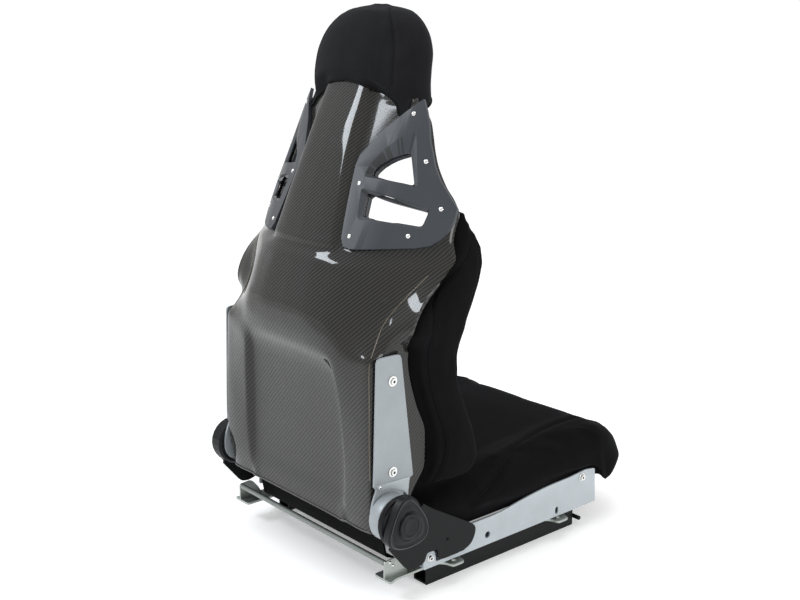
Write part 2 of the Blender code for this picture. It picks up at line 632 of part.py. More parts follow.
def cushion_ring(w):
    """One side outline; towards the edges it sinks, and the nose's corners are rounded off."""
    a = abs(w)
    edge = min(max((a - 0.205) / (CUSHION_W - 0.205), 0), 1)
    sink = 0.030 * (1 - math.sqrt(max(1 - edge ** 2, 0)))
    t = min(max((a - 0.170) / 0.0751, 0), 1)
    corner = 0.075 * (1 - math.sqrt(1 - t * t))
    ring = []
    for i, (y, z) in enumerate(PROFILE):
        y2, z2 = y, z
        if z > 0.12 and y < 0.23:
            z2 += 0.020 * math.exp(-((a - 0.180) / 0.040) ** 2 - ((y - 0.02) / 0.13) ** 2) - sink
        if y < -0.17:
            y2 += corner * min((-0.17 - y) / 0.11, 1)
        if y < -0.205 and z < 0.085:
            z2 += 0.020 * min(max((a - 0.090) / 0.100, 0), 1)
        if a > 0.223:                     # overhang outside the side plate
            z2 = max(z2, 0.1180 + 0.0004 * (i % 3)) if y > -0.20 else max(z2, 0.0640)
            if y <= -0.20:
                y2 = min(y2, -0.1880 - 0.0002 * (i % 3))
        if a > 0.2325:                    # clear of the recliner bracket
            y2 = min(y2, 0.1180 - 0.0010 * i if y > 0.11 else y2)
        ring.append((w, y2, z2))
    return ring


stations = [0, 0.06, 0.12, 0.155, 0.180, 0.205, 0.2225, 0.2315, 0.2340, 0.2390, 0.2430, 0.2450]
rings = [cushion_ring(-w) for w in stations[::-1]] + [cushion_ring(w) for w in stations[1:]]
loft("seat_cushion", rings, SUEDE)

# ---------------------------------------------------------------- seat pan and its supports
pan = plate("seat_pan", [rounded([(-0.205, -0.190), (0.205, -0.190), (0.205, 0.262), (-0.205, 0.262)],
                                 0.025, 4)], 0.0060, xy_place(0.0845), CARBON)
tube("front_cross_member", [(-0.2332, -0.120, 0.0660), (0.2332, -0.120, 0.0660)], 0.0110, BLACKSTEEL, 4)
cover_prof = rounded([(0.2840, 0.1115), (0.2720, 0.0560), (0.2560, 0.0490), (0.2520, 0.0505),
                      (0.2690, 0.0590), (0.2800, 0.1115)], 0.003, 2)
plate("lower_rear_cover", [cover_prof], 0.350, yz_place(0), BLACKPLASTIC)

# ---------------------------------------------------------------- side plates
PLATE_OUT = rounded([(-0.1830, 0.0460), (0.2430, 0.0460), (0.2430, 0.0580), (0.2395, 0.0740),
                     (0.2180, 0.0740), (0.2150, 0.0530), (0.1500, 0.0530), (0.1500, 0.0955),
                     (0.0660, 0.0960), (0.0170, 0.1040), (-0.0465, 0.1105), (-0.1130, 0.1120),
                     (-0.1530, 0.1155), (-0.1790, 0.1120)],
                    [0.004, 0.003, 0.002, 0.006, 0.006, 0.002, 0.002, 0.003, 0.02, 0.02, 0.02, 0.01,
                     0.006, 0.004], 2)
oval = [(-0.078 + 0.0040 * math.cos(t), 0.0575 + 0.0030 * (1 if math.sin(t) > 0 else -1)
         + 0.0040 * math.sin(t)) for t in [2 * math.pi * (k + 0.5) / 16 for k in range(16)]]
for tag, side in SIDES:
    p = plate("side_plate_" + tag, [PLATE_OUT, circle(0.0964, 0.0640, 0.0060), oval,
                                    circle(-0.1426, 0.1040, 0.0040, 12), circle(0.2290, 0.0640, 0.0040, 12)],
              PLATE_T, yz_place(side * PLATE_W), SILVER)
    lo, hi = sorted((side * 0.1600, side * 0.2348))
    f = box("side_plate_flange_" + tag, (lo, -0.1780, 0.0460), (hi, 0.2380, 0.0490), SILVER, coll=cutters)
    boolean(p, as_cutter(f), "UNION")
    washer_bolt("side_plate_bolt_" + tag, PLATE_W + PLATE_T / 2, -0.1426, 0.1040, side,
                washer_r=0.0075, shank=0.006, shank_r=0.0036)
    washer_bolt("bracket_bolt_" + tag, PLATE_W + PLATE_T / 2, 0.2290, 0.0640, side,
                washer_r=0.0065, head_r=0.0055, shank=0.006, shank_r=0.0036)

# ---------------------------------------------------------------- recliner, fixed side
arc = [(AXIS_Y + 0.0400 * math.cos(math.radians(a)), AXIS_Z + 0.0400 * math.sin(math.radians(a)))
       for a in range(-45, 166, 15)]
BRACKET_OUT = (rounded([(0.2480, 0.1665), (0.2281, 0.1521), (0.1948, 0.1326), (0.1606, 0.1126),
                        (0.1373, 0.0992), (0.1301, 0.0900), (0.1325, 0.0780), (0.1400, 0.0650),
                        (0.1527, 0.0590), (0.1711, 0.0565), (0.2050, 0.0565), (0.2145, 0.0620),
                        (0.2170, 0.0780), (0.2400, 0.0780), (0.2460, 0.0640), (0.2644, 0.0587),
                        (0.2815, 0.0612), (0.3026, 0.0870), (0.3200, 0.1080)],
                       [0.004, 0.01, 0.01, 0.01, 0.006, 0.006, 0.006, 0.006, 0.006, 0.006, 0.004, 0.003,
                        0.003, 0.003, 0.003, 0.006, 0.006, 0.006, 0.004], 2) + arc)
for tag, side in SIDES:
    plate("recliner_bracket_" + tag, [BRACKET_OUT, circle(AXIS_Y, AXIS_Z, 0.0065)], BRACKET_T,
          yz_place(side * BRACKET_W), BLACKSTEEL)
    turned("recliner_disc_" + tag,
           [(0.0068, DISC_W1), (DISC_R - 0.001, DISC_W1), (DISC_R, DISC_W1 - 0.001),
            (DISC_R, DISC_W0 + 0.004), (DISC_R - 0.004, DISC_W0), (0.0068, DISC_W0)],
           x_axis_place(0, AXIS_Y, AXIS_Z, side), BLACKSTEEL, 24)
# dome on the side with the handwheel, low cap on the other
turned("recliner_cover_right",
       [(0.0068, COVER_W1), (COVER_R - 0.004, COVER_W1), (COVER_R - 0.0012, COVER_W1 - 0.002),
        (COVER_R, COVER_W1 - 0.005), (COVER_R, COVER_W0), (0.0068, COVER_W0)],
       x_axis_place(0, AXIS_Y, AXIS_Z, -1), BLACKPLASTIC, 24)
turned("recliner_cover_left",
       [(0, 0.2470), (0.0300, 0.2470), (0.0330, 0.2450), (0.0345, COVER_W0), (0, COVER_W0)],
       x_axis_place(0, AXIS_Y, AXIS_Z, 1), BLACKPLASTIC, 24)

# ---------------------------------------------------------------- recliner drive
WHEEL_OUT = smooth_loop([(0.2980, 0.1990), (0.2868, 0.1905), (0.2742, 0.1749), (0.2635, 0.1581),
                         (0.2585, 0.1431), (0.2590, 0.1290), (0.2665, 0.1195), (0.2810, 0.1150),
                         (0.2990, 0.1135), (0.3160, 0.1155), (0.3310, 0.1215), (0.3395, 0.1300),
                         (0.3410, 0.1400), (0.3370, 0.1550), (0.3280, 0.1755), (0.3180, 0.1910),
                         (0.3090, 0.1985)], 2)
plate("handwheel", [WHEEL_OUT], WHEEL_W1 - WHEEL_W0,
      yz_place(-0.5 * (WHEEL_W0 + WHEEL_W1)), BLACKPLASTIC, bevel=0.0025, segments=1)
turned("handwheel_cap",
       [(0, 0.2712), (CAP_R - 0.003, 0.2712), (CAP_R, 0.2700), (CAP_R, WHEEL_W1 + GAP),
        (0, WHEEL_W1 + GAP)], x_axis_place(0, AXIS_Y, AXIS_Z, -1), BLACKPLASTIC, 20)
turned("recliner_cross_shaft", [(0, 0.2425), (SHAFT_R, 0.2425), (SHAFT_R, -0.2518), (0, -0.2518)],
       x_axis_place(0, AXIS_Y, AXIS_Z, 1), ZINC, 16)

# ---------------------------------------------------------------- rails
for tag, side in SIDES:
    s = side

    def sec(pts):
        return [(s * w, z) for w, z in pts]
    mid_y = 0.5 * (RAIL_Y0 + RAIL_Y1)
    plate("floor_rail_" + tag,
          [sec([(0.180, 0), (0.212, 0), (0.212, 0.036), (0.2005, 0.036), (0.2005, 0.0332),
                (0.209, 0.0332), (0.209, 0.003), (0.183, 0.003), (0.183, 0.0332), (0.1885, 0.0332),
                (0.1885, 0.036), (0.180, 0.036)])],
          RAIL_Y1 - RAIL_Y0, xz_place(mid_y), BLACKSTEEL)
    plate("slide_rail_" + tag,
          [sec([(0.1845, 0.0190), (0.2045, 0.0190), (0.2045, 0.0245), (0.1975, 0.0245),
                (0.1975, 0.0415), (0.2035, 0.0415), (0.2035, 0.0455), (0.1860, 0.0455),
                (0.1860, 0.0415), (0.1915, 0.0415), (0.1915, 0.0245), (0.1845, 0.0245)])],
          0.350, xz_place(0.030), ZINC)
    for pos, y in (("front", 0.028), ("rear", 0.180)):
        lo, hi = sorted((s * 0.1980, s * 0.2080))
        box("slide_shoe_%s_%s" % (tag, pos), (lo, y - 0.014, 0.0249), (hi, y + 0.014, 0.0326), NATURAL)
    # bolting plate with ears and the rear tab
    out = []
    for y0 in (0.304, 0.218):
        out.append((0.1840, y0))
    out += [(0.2045, 0.212), (0.2045, -0.150), (0.2200, -0.150)]
    for ey in sorted(EAR_Y):
        out += [(0.2200, ey - 0.026), (0.2300, ey - 0.0165), (0.2460, ey - 0.0130),
                (0.2460, ey + 0.0130), (0.2300, ey + 0.0165), (0.2200, ey + 0.026)]
    out += [(0.2200, 0.290), (0.2260, 0.304)]
    pts = rounded([(s * w, y) for w, y in out], 0.005, 2)
    holes = [circle(s * EAR_W, ey, EAR_R, 12) for ey in EAR_Y]
    c = plate("rail_carrier_" + tag, [pts] + holes, CARRIER_T, xy_place(CARRIER_Z + CARRIER_T / 2), ZINC)
    t = plate("rail_tab_" + tag, [rounded([(0.2540, 0.0380), (0.3040, 0.0380), (0.3040, 0.0700),
                                           (0.2780, 0.0720), (0.2640, 0.0560)],
                                          [0.0, 0.0, 0.004, 0.006, 0.006], 3)],
              0.003, yz_place(s * 0.2092), ZINC, coll=cutters)
    boolean(c, as_cutter(t), "UNION")
turned("rear_cross_tube", [(0, 0.2072), (TUBE_R, 0.2072), (TUBE_R, -0.2072), (0, -0.2072)],
       x_axis_place(0, TUBE_Y, TUBE_Z, 1), ZINC, 16)

# ---------------------------------------------------------------- slide release
W = 0.075
path = [(-0.222, BAR_Y, BAR_Z), (-W - 0.012, BAR_Y, BAR_Z)]
for a in (30, 60):
    r = math.radians(a)
    path.append((-W - 0.012 + 0.012 * math.sin(r), BAR_Y - 0.012 * (1 - math.cos(r)), BAR_Z))
path += [(-W, BAR_Y - 0.012, BAR_Z + 0.0005), (-W, -0.223, BAR_Z + 0.008)]
for a in (30, 60, 90):
    r = math.radians(a)
    path.append((-W + 0.012 * (1 - math.cos(r)), -0.223 - 0.012 * math.sin(r), BAR_Z + 0.0085))
path = path + [(-x, y, z) for x, y, z in reversed(path)]
tube("release_bar", path, BAR_R, BLACKSTEEL, 3)
PAWL = rounded([(-0.1650, 0.0090), (-0.1530, 0.0075), (-0.1260, 0.0100), (-0.1260, 0.0250),
                (-0.1300, 0.0250), (-0.1320, 0.0170), (-0.1650, 0.0195)], 0.0015, 2)
RACK = [(-0.1450, 0.0455), (-0.1450, 0.0290)]
y = -0.1450
while y < 0.115:
    RACK += [(y + 0.008, 0.0290), (y + 0.010, 0.0350), (y + 0.018, 0.0350), (y + 0.020, 0.0290)]
    y += 0.020
RACK += [(0.1300, 0.0290), (0.1300, 0.0455)]
for tag, side in SIDES:
    plate("latch_pawl_" + tag, [PAWL, circle(BAR_Y, BAR_Z, BAR_R + 0.0003, 16)], 0.0040,
          yz_place(side * 0.1640), ZINC)
    plate("latch_rack_" + tag, [RACK], 0.0030, yz_place(side * 0.1640), ZINC)
    plate("bar_bearing_" + tag,
          [rounded([(-0.1660, 0.0040), (-0.1400, 0.0040), (-0.1400, 0.0240), (-0.1660, 0.0240)], 0.004, 2),
           circle(BAR_Y, BAR_Z, BAR_R + 0.0003, 16)], 0.0090, yz_place(side * 0.1750), BLACKPLASTIC)
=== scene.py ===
import bpy
import bmesh
import json
import math
import numpy as np
from mathutils import Matrix, Vector
from mathutils.bvhtree import BVHTree

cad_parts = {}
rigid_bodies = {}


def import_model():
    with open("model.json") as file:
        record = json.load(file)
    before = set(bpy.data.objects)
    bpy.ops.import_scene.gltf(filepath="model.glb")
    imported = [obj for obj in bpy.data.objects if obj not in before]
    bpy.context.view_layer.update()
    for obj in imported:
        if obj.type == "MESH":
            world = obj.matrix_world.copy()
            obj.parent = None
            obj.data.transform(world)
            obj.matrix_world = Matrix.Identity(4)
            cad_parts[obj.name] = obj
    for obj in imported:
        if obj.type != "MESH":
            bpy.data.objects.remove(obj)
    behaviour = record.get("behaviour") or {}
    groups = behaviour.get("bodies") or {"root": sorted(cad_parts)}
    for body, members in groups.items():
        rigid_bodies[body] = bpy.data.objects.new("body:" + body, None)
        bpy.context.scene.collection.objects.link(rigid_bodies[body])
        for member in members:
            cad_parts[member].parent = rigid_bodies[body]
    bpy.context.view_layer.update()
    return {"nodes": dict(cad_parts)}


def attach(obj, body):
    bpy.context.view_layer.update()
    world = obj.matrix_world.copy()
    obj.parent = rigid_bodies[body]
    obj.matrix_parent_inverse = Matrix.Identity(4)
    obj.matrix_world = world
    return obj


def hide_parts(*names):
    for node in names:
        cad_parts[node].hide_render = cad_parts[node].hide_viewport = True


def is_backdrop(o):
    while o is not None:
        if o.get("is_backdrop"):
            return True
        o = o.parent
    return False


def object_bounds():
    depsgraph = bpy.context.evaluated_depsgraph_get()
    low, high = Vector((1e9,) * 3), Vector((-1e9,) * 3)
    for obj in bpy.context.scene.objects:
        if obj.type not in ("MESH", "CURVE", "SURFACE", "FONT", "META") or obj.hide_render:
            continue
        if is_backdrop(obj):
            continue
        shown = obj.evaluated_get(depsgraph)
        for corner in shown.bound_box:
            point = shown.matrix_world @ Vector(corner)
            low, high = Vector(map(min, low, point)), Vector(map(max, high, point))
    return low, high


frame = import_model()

nodes = frame["nodes"]
scene = bpy.context.scene
SIDES = (("right", -1), ("left", 1))
SHOW = [o for o in bpy.data.objects if o.name in ("Cube", "Light", "Camera")]
for o in SHOW:
    bpy.data.objects.remove(o, do_unlink=True)


# ================================================================ materials
class Graph:
    """A material's node tree with short calls for the nodes used here."""

    def __init__(self, name, **sockets):
        self.m = bpy.data.materials.new(name)
        self.m.use_nodes = True
        self.t = self.m.node_tree
        self.b = self.t.nodes["Principled BSDF"]
        for k, v in sockets.items():
            self.b.inputs[k.replace("_", " ")].default_value = v
        self.coord = self.t.nodes.new("ShaderNodeTexCoord").outputs["Object"]

    def put(self, socket, value):
        if hasattr(value, "links"):
            self.t.links.new(value, socket)
        else:
            socket.default_value = value

    def math(self, op, a, b=0.0, c=0.0):
        n = self.t.nodes.new("ShaderNodeMath")
        n.operation = op
        self.put(n.inputs[0], a)
        self.put(n.inputs[1], b)
        self.put(n.inputs[2], c)
        return n.outputs[0]

    def noise(self, scale, detail=3.0, rough=0.55, stretch=None, coord=None):
        n = self.t.nodes.new("ShaderNodeTexNoise")
        n.inputs["Scale"].default_value = scale
        n.inputs["Detail"].default_value = detail
        n.inputs["Roughness"].default_value = rough
        c = coord or self.coord
        if stretch:
            mp = self.t.nodes.new("ShaderNodeMapping")
            mp.inputs["Scale"].default_value = stretch
            self.t.links.new(c, mp.inputs["Vector"])
            c = mp.outputs[0]
        self.t.links.new(c, n.inputs["Vector"])
        return n.outputs["Fac"]

    def mix(self, fac, a, b):
        n = self.t.nodes.new("ShaderNodeMix")
        n.data_type = "RGBA"
        self.put(n.inputs[0], fac)
        self.put(n.inputs[6], a)
        self.put(n.inputs[7], b)
        return n.outputs[2]

    def span(self, v, lo, hi, a, b):
        n = self.t.nodes.new("ShaderNodeMapRange")
        self.put(n.inputs[0], v)
        for i, x in enumerate((lo, hi, a, b)):
            n.inputs[i + 1].default_value = x
        return n.outputs[0]

    def bump(self, height, distance, strength=1.0, after=None):
        n = self.t.nodes.new("ShaderNodeBump")
        n.inputs["Distance"].default_value = distance
        n.inputs["Strength"].default_value = strength
        self.t.links.new(height, n.inputs["Height"])
        if after is not None:
            self.t.links.new(after, n.inputs["Normal"])
        return n.outputs[0]

    def link(self, value, name):
        self.t.links.new(value, self.b.inputs[name])
        return self


def rgb(r, g, b):
    return (r, g, b, 1.0)


def carbon_material():
    """2x2 twill under clear lacquer; the weave follows the cloth's own lengths in UV map 'weave'."""
    g = Graph("carbon_laminate", Metallic=0.10, Specular_IOR_Level=0.05, Coat_Weight=0.80, Coat_Roughness=0.050,
              Coat_IOR=1.45)
    uv = g.t.nodes.new("ShaderNodeUVMap")
    uv.uv_map = "weave"
    sep = g.t.nodes.new("ShaderNodeSeparateXYZ")
    g.t.links.new(uv.outputs[0], sep.inputs[0])
    tow = 0.00200
    u = g.math("DIVIDE", sep.outputs[0], tow)
    v = g.math("DIVIDE", sep.outputs[1], tow)
    cell = g.math("ADD", g.math("FLOOR", u), g.math("FLOOR", v))
    warp = g.math("LESS_THAN", g.math("FLOORED_MODULO", cell, 4.0), 1.5)
    fu, fv = g.math("FRACT", u), g.math("FRACT", v)
    hu = g.math("SINE", g.math("MULTIPLY", fu, math.pi))
    hv = g.math("SINE", g.math("MULTIPLY", fv, math.pi))
    height = g.math("ADD", g.math("MULTIPLY", warp, hu),
                    g.math("MULTIPLY", g.math("SUBTRACT", 1.0, warp), hv))
    strand = g.noise(1.0, 2.0, 0.6, (5200.0, 5200.0, 420.0))
    broad = g.noise(9.0, 2.0)
    # warp tows lighter than weft tows: painted reflection that stands in for the fibres' directional sheen
    lit = g.mix(warp, rgb(0.0012, 0.0012, 0.0012), rgb(0.034, 0.0325, 0.031))
    col = g.mix(g.math("MULTIPLY", strand, 0.35), lit, rgb(0.013, 0.0122, 0.011))
    col = g.mix(g.span(broad, 0.3, 0.7, 0.0, 0.22), col, rgb(0.016, 0.0138, 0.0105))
    g.link(col, "Base Color")
    g.link(g.span(g.math("ADD", warp, strand), 0.2, 1.8, 0.55, 0.36), "Roughness")
    g.link(g.bump(height, 0.00022, 0.55), "Normal")
    return g.m


def suede_material(name="microsuede", lift=1.0):
    g = Graph(name, Specular_IOR_Level=0.05, Sheen_Weight=0.022 * lift, Sheen_Roughness=0.42,
              Sheen_Tint=rgb(0.75, 0.76, 0.85))
    nap = g.noise(2600.0, 2.0, 0.7)
    fibre = g.noise(900.0, 3.0, 0.65)
    brush = g.noise(26.0, 4.0, 0.6, (1.0, 1.0, 0.55))
    k = lift
    col = g.mix(g.span(brush, 0.32, 0.68, 0.0, 1.0), rgb(0.0027 * k, 0.0027 * k, 0.0030 * k),
                rgb(0.0050 * k, 0.0050 * k, 0.0054 * k))
    col = g.mix(g.span(nap, 0.4, 0.75, 0.0, 0.55), col, rgb(0.0090 * k, 0.0090 * k, 0.0098 * k))
    g.link(col, "Base Color")
    g.link(g.span(brush, 0.3, 0.7, 0.82, 0.97), "Roughness")
    b = g.bump(g.math("ADD", g.math("MULTIPLY", nap, 0.5), fibre), 0.00030, 0.5)
    g.link(g.bump(brush, 0.0012, 0.22, b), "Normal")
    return g.m


def plastic_material(name, colour, rough, grain=1500.0, grain_depth=0.00010, wear=0.0, spec=0.5, vary=1.0):
    g = Graph(name, Specular_IOR_Level=spec)
    fine = g.noise(grain, 3.0, 0.6)
    cloud = g.noise(14.0, 3.0)
    dark = rgb(*(c * (1 - 0.16 * vary) for c in colour))
    light = rgb(*(c * (1 + 0.14 * vary) for c in colour))
    col = g.mix(g.span(cloud, 0.3, 0.7, 0.0, 1.0), dark, light)
    if wear:
        scuff = g.noise(160.0, 5.0, 0.7, (1.0, 0.25, 1.0))
        col = g.mix(g.span(scuff, 0.64, 0.74, 0.0, wear), col, rgb(*(min(c * 2.2 + 0.01, 1) for c in colour)))
    g.link(col, "Base Color")
    g.link(g.span(g.math("ADD", cloud, g.math("MULTIPLY", fine, 0.4)), 0.4, 1.0, rough - 0.05 * vary,
                  rough + 0.07 * vary), "Roughness")
    g.link(g.bump(fine, grain_depth, 0.45), "Normal")
    return g.m


def metal_material(name, colour, rough, metal, peel=220.0, depth=0.00006, brush=None, tint=None, spec=0.5):
    g = Graph(name, Metallic=metal, Specular_IOR_Level=spec)
    cloud = g.noise(18.0, 4.0, 0.6)
    fine = g.noise(peel, 2.0, 0.5, brush)
    col = g.mix(g.span(cloud, 0.3, 0.7, 0.0, 1.0), rgb(*(c * 0.93 for c in colour)),
                rgb(*(min(c * 1.06, 1) for c in colour)))
    if tint:
        bloom = g.noise(55.0, 4.0, 0.65)
        col = g.mix(g.span(bloom, 0.45, 0.75, 0.0, 0.45), col, rgb(*tint))
    speck = g.noise(700.0, 4.0, 0.7)
    col = g.mix(g.span(speck, 0.70, 0.78, 0.0, 0.35), col, rgb(*(c * 0.45 for c in colour)))
    g.link(col, "Base Color")
    g.link(g.span(g.math("ADD", cloud, fine), 0.6, 1.4, rough - 0.06, rough + 0.08), "Roughness")
    g.link(g.bump(fine, depth, 0.5), "Normal")
    return g.m


CARBON = carbon_material()
SUEDE = suede_material()
# lighter copy of the microsuede for the head sleeve: painted light
LIT_HEAD_SUEDE = suede_material("head_microsuede_painted_light", 2.2)
PIPING = suede_material("seam_thread", 1.8)
BEZEL = plastic_material("bezel_plastic", (0.027, 0.031, 0.038), 0.42, 1700.0, 0.00012, spec=0.50, vary=0.5)
# darker copy of the bezel plastic: painted shade for the slopes that lead into the windows
BEZEL_RECESS_SHADE = plastic_material("bezel_recess_painted_shade", (0.0165, 0.0175, 0.0185), 0.50, 1700.0, 0.00012, spec=0.40, vary=0.4)
SILVER = metal_material("silver_painted_steel", (0.400, 0.440, 0.465), 0.38, 0.25)
# darker copy of the silver paint for the recliner arm and joint disc: painted shade
SHADED_ARM_SILVER = metal_material("arm_silver_paint_painted_shade", (0.285, 0.312, 0.330), 0.40, 0.20)
ZINC = metal_material("zinc_plated_steel", (0.39, 0.42, 0.40), 0.36, 0.85, 120.0, 0.00005,
                      tint=(0.35, 0.40, 0.33))
# darker copy of the zinc plating for the rear cross tube: painted shade, the tube lies in shadow
SHADED_TUBE_ZINC = metal_material("zinc_plating_painted_shade_tube", (0.23, 0.25, 0.235), 0.40, 0.80, 120.0, 0.00005)
BLACKSTEEL = metal_material("black_painted_steel", (0.0060, 0.0064, 0.0070), 0.44, 0.0, 900.0, 0.00010,
                            spec=0.16)
BLACKPLASTIC = plastic_material("black_plastic", (0.0050, 0.0054, 0.0066), 0.34, 2200.0, 0.00007, spec=0.22)
# near-black cover under the shell: its colour paints the shade of the hollow there
SHADE = plastic_material("shaded_plastic", (0.0022, 0.0022, 0.0024), 0.70, 1200.0, 0.00007, spec=0.06)
STAINLESS = metal_material("stainless_fastener", (0.78, 0.78, 0.76), 0.22, 1.0, 60.0, 0.00003,
                           (1.0, 14.0, 14.0))
NATURAL = plastic_material("natural_plastic", (0.60, 0.58, 0.50), 0.48)
HEX_RECESS_SHADOW = plastic_material("socket_shadow", (0.006, 0.006, 0.007), 0.6)
PANWHITE = plastic_material("pan_gelcoat", (0.010, 0.012, 0.016), 0.20, 300.0, 0.00002, spec=0.20)

LOOK = {
    "bezel_plastic": ("harness_bezel", "harness_trim"),
    "silver": ("side_plate_right", "side_plate_left"),
    "arm_silver_shaded": ("recliner_arm",),
    "tube_zinc_shaded": ("rear_cross_tube",),
    "zinc": ("rail_carrier", "slide_rail", "latch_pawl", "latch_rack",
             "recliner_cross_shaft"),
    "blacksteel": ("floor_rail", "front_cross_member", "recliner_bracket", "recliner_disc", "release_bar"),
    "blackplastic": ("recliner_cover", "handwheel", "bar_bearing"),
    "shade": ("lower_rear_cover",),
    "stainless": ("arm_bolt", "side_plate_bolt", "bracket_bolt"),
    "natural": ("slide_shoe",),
    "pan": ("seat_pan",),
}
PAINT = {"bezel_plastic": BEZEL, "silver": SILVER, "arm_silver_shaded": SHADED_ARM_SILVER, "tube_zinc_shaded": SHADED_TUBE_ZINC, "zinc": ZINC, "blacksteel": BLACKSTEEL,
         "blackplastic": BLACKPLASTIC, "stainless": STAINLESS, "natural": NATURAL, "pan": PANWHITE, "shade": SHADE}
for look, stems in LOOK.items():
    for name, ob in nodes.items():
        if name.startswith(stems):
            ob.data.materials.clear()
            ob.data.materials.append(PAINT[look])

BEVELS = {"recliner_arm": 0.0009, "side_plate_left": 0.0008, "side_plate_right": 0.0008,
          "floor_rail": 0.0008, "rail_carrier": 0.0007, "slide_rail": 0.0005, "recliner_bracket": 0.0011,
          "harness_trim": 0.0012, "lower_rear_cover": 0.0008, "latch_": 0.0003, "bar_bearing": 0.0008,
          "slide_shoe": 0.0010, "seat_pan": 0.0015, "recliner_disc": 0.0008}
for name, ob in nodes.items():
    for stem, width in BEVELS.items():
        if name.startswith(stem):
            b = ob.modifiers.new("soft_edges", "BEVEL")
            b.width = width
            b.segments = 2
            b.limit_method = "ANGLE"
            b.angle_limit = math.radians(38)
            b.harden_normals = False
    if name.startswith(("arm_bolt", "side_plate_bolt", "bracket_bolt", "rear_cross_tube", "release_bar",
                        "front_cross_member", "recliner_cross_shaft")):
        ob.data.shade_smooth()
        ob.data.set_sharp_from_angle(angle=math.radians(35))


# ================================================================ helpers
def new_object(name, mesh, mat, body, smooth=60):
    o = bpy.data.objects.new(name, mesh)
    scene.collection.objects.link(o)
    mesh.materials.clear()
    mesh.materials.append(mat)
    if smooth is not None:
        mesh.shade_smooth()
        mesh.set_sharp_from_angle(angle=math.radians(smooth))
    if body:
        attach(o, body)
    return o


def mesh_from(verts, faces, name="mesh"):
    me = bpy.data.meshes.new(name)
    me.from_pydata([tuple(map(float, v)) for v in verts], [], faces)
    bm = bmesh.new()
    bm.from_mesh(me)
    bmesh.ops.remove_doubles(bm, verts=bm.verts, dist=1e-6)
    bmesh.ops.recalc_face_normals(bm, faces=bm.faces)
    bm.to_mesh(me)
    bm.free()
    return me


def applied(o, name):
    """Mesh of o with its modifiers applied."""
    bpy.context.view_layer.update()
    dg = bpy.context.evaluated_depsgraph_get()
    me = bpy.data.meshes.new_from_object(o.evaluated_get(dg), preserve_all_data_layers=True, depsgraph=dg)
    me.name = name
    return me


def drop(o):
    bpy.data.objects.remove(o, do_unlink=True)


def pchip(x, y, q):
    """Monotone cubic through the points; y may have several columns."""
    x, y, q = np.asarray(x, float), np.asarray(y, float), np.asarray(q, float)
    flat = y.ndim == 1
    if flat:
        y = y[:, None]
    h = np.diff(x)[:, None]
    d = np.diff(y, axis=0) / h
    m = np.zeros_like(y)
    a, b = d[:-1], d[1:]
    w1, w2 = 2 * h[1:] + h[:-1], h[1:] + 2 * h[:-1]
    with np.errstate(divide="ignore", invalid="ignore"):
        hm = (w1 + w2) / (w1 / a + w2 / b)
    m[1:-1] = np.where(a * b > 0, hm, 0)
    m[0], m[-1] = d[0], d[-1]
    i = np.clip(np.searchsorted(x, q, side="right") - 1, 0, len(x) - 2)
    t = ((q - x[i]) / (x[i + 1] - x[i]))[:, None]
    hh = h[i]
    out = ((1 + 2 * t) * (1 - t) ** 2 * y[i] + t * (1 - t) ** 2 * hh * m[i]
           + t * t * (3 - 2 * t) * y[i + 1] + t * t * (t - 1) * hh * m[i + 1])
    return out[:, 0] if flat else out


def catmull(points, count, closed=True):
    p = np.array(points, float)
    n = len(p)
    out = []
    for i in range(n if closed else n - 1):
        def at(j):
            return p[j % n] if closed else p[min(max(j, 0), n - 1)]
        a, b, c, d = at(i - 1), at(i), at(i + 1), at(i + 2)
        for k in range(count):
            t = k / count
            out.append(0.5 * (2 * b + (c - a) * t + (2 * a - 5 * b + 4 * c - d) * t * t
                              + (3 * b - a - 3 * c + d) * t ** 3))
    if not closed:
        out.append(p[-1])
    return np.array(out)


def rounded(points, radius, steps=4):
    n = len(points)
    rs = radius if isinstance(radius, (list, tuple)) else [radius] * n
    out = []
    for i in range(n):
        p = Vector(points[i])
        a, b = Vector(points[i - 1]) - p, Vector(points[(i + 1) % n]) - p
        r = min(rs[i], 0.45 * a.length, 0.45 * b.length)
        s, e = p + a.normalized() * r, p + b.normalized() * r
        for k in range(steps + 1):
            t = k / steps
            out.append(tuple(s.lerp(p, t).lerp(p.lerp(e, t), t)))
    return out


def inset(points, d):
    n = len(points)
    area = sum(points[i - 1][0] * points[i][1] - points[i][0] * points[i - 1][1] for i in range(n))
    s = 1 if area > 0 else -1
    out = []
    for i in range(n):
        p0, p1, p2 = (Vector(points[(i + k) % n]) for k in (-1, 0, 1))
        a, b = (p1 - p0).normalized(), (p2 - p1).normalized()
        na, nb = Vector((-a.y, a.x)) * s, Vector((-b.y, b.x)) * s
        m = (na + nb).normalized()
        out.append(tuple(p1 + m * (d / max(m.dot(na), 0.5))))
    return out


def flat_mesh(outlines, half):
    """Flat outline with holes, from -half to +half, welded."""
    cu = bpy.data.curves.new("flat", "CURVE")
    cu.dimensions = "2D"
    cu.fill_mode = "BOTH"
    cu.extrude = half
    for pts in outlines:
        s = cu.splines.new("POLY")
        s.points.add(len(pts) - 1)
        for i, q in enumerate(pts):
            s.points[i].co = (q[0], q[1], 0, 1)
        s.use_cyclic_u = True
    ob = bpy.data.objects.new("flat", cu)
    scene.collection.objects.link(ob)
    me = applied(ob, "flat")
    bm = bmesh.new()
    bm.from_mesh(me)
    drop(ob)
    bpy.data.meshes.remove(me)
    bmesh.ops.remove_doubles(bm, verts=bm.verts, dist=0.00002)
    return bm


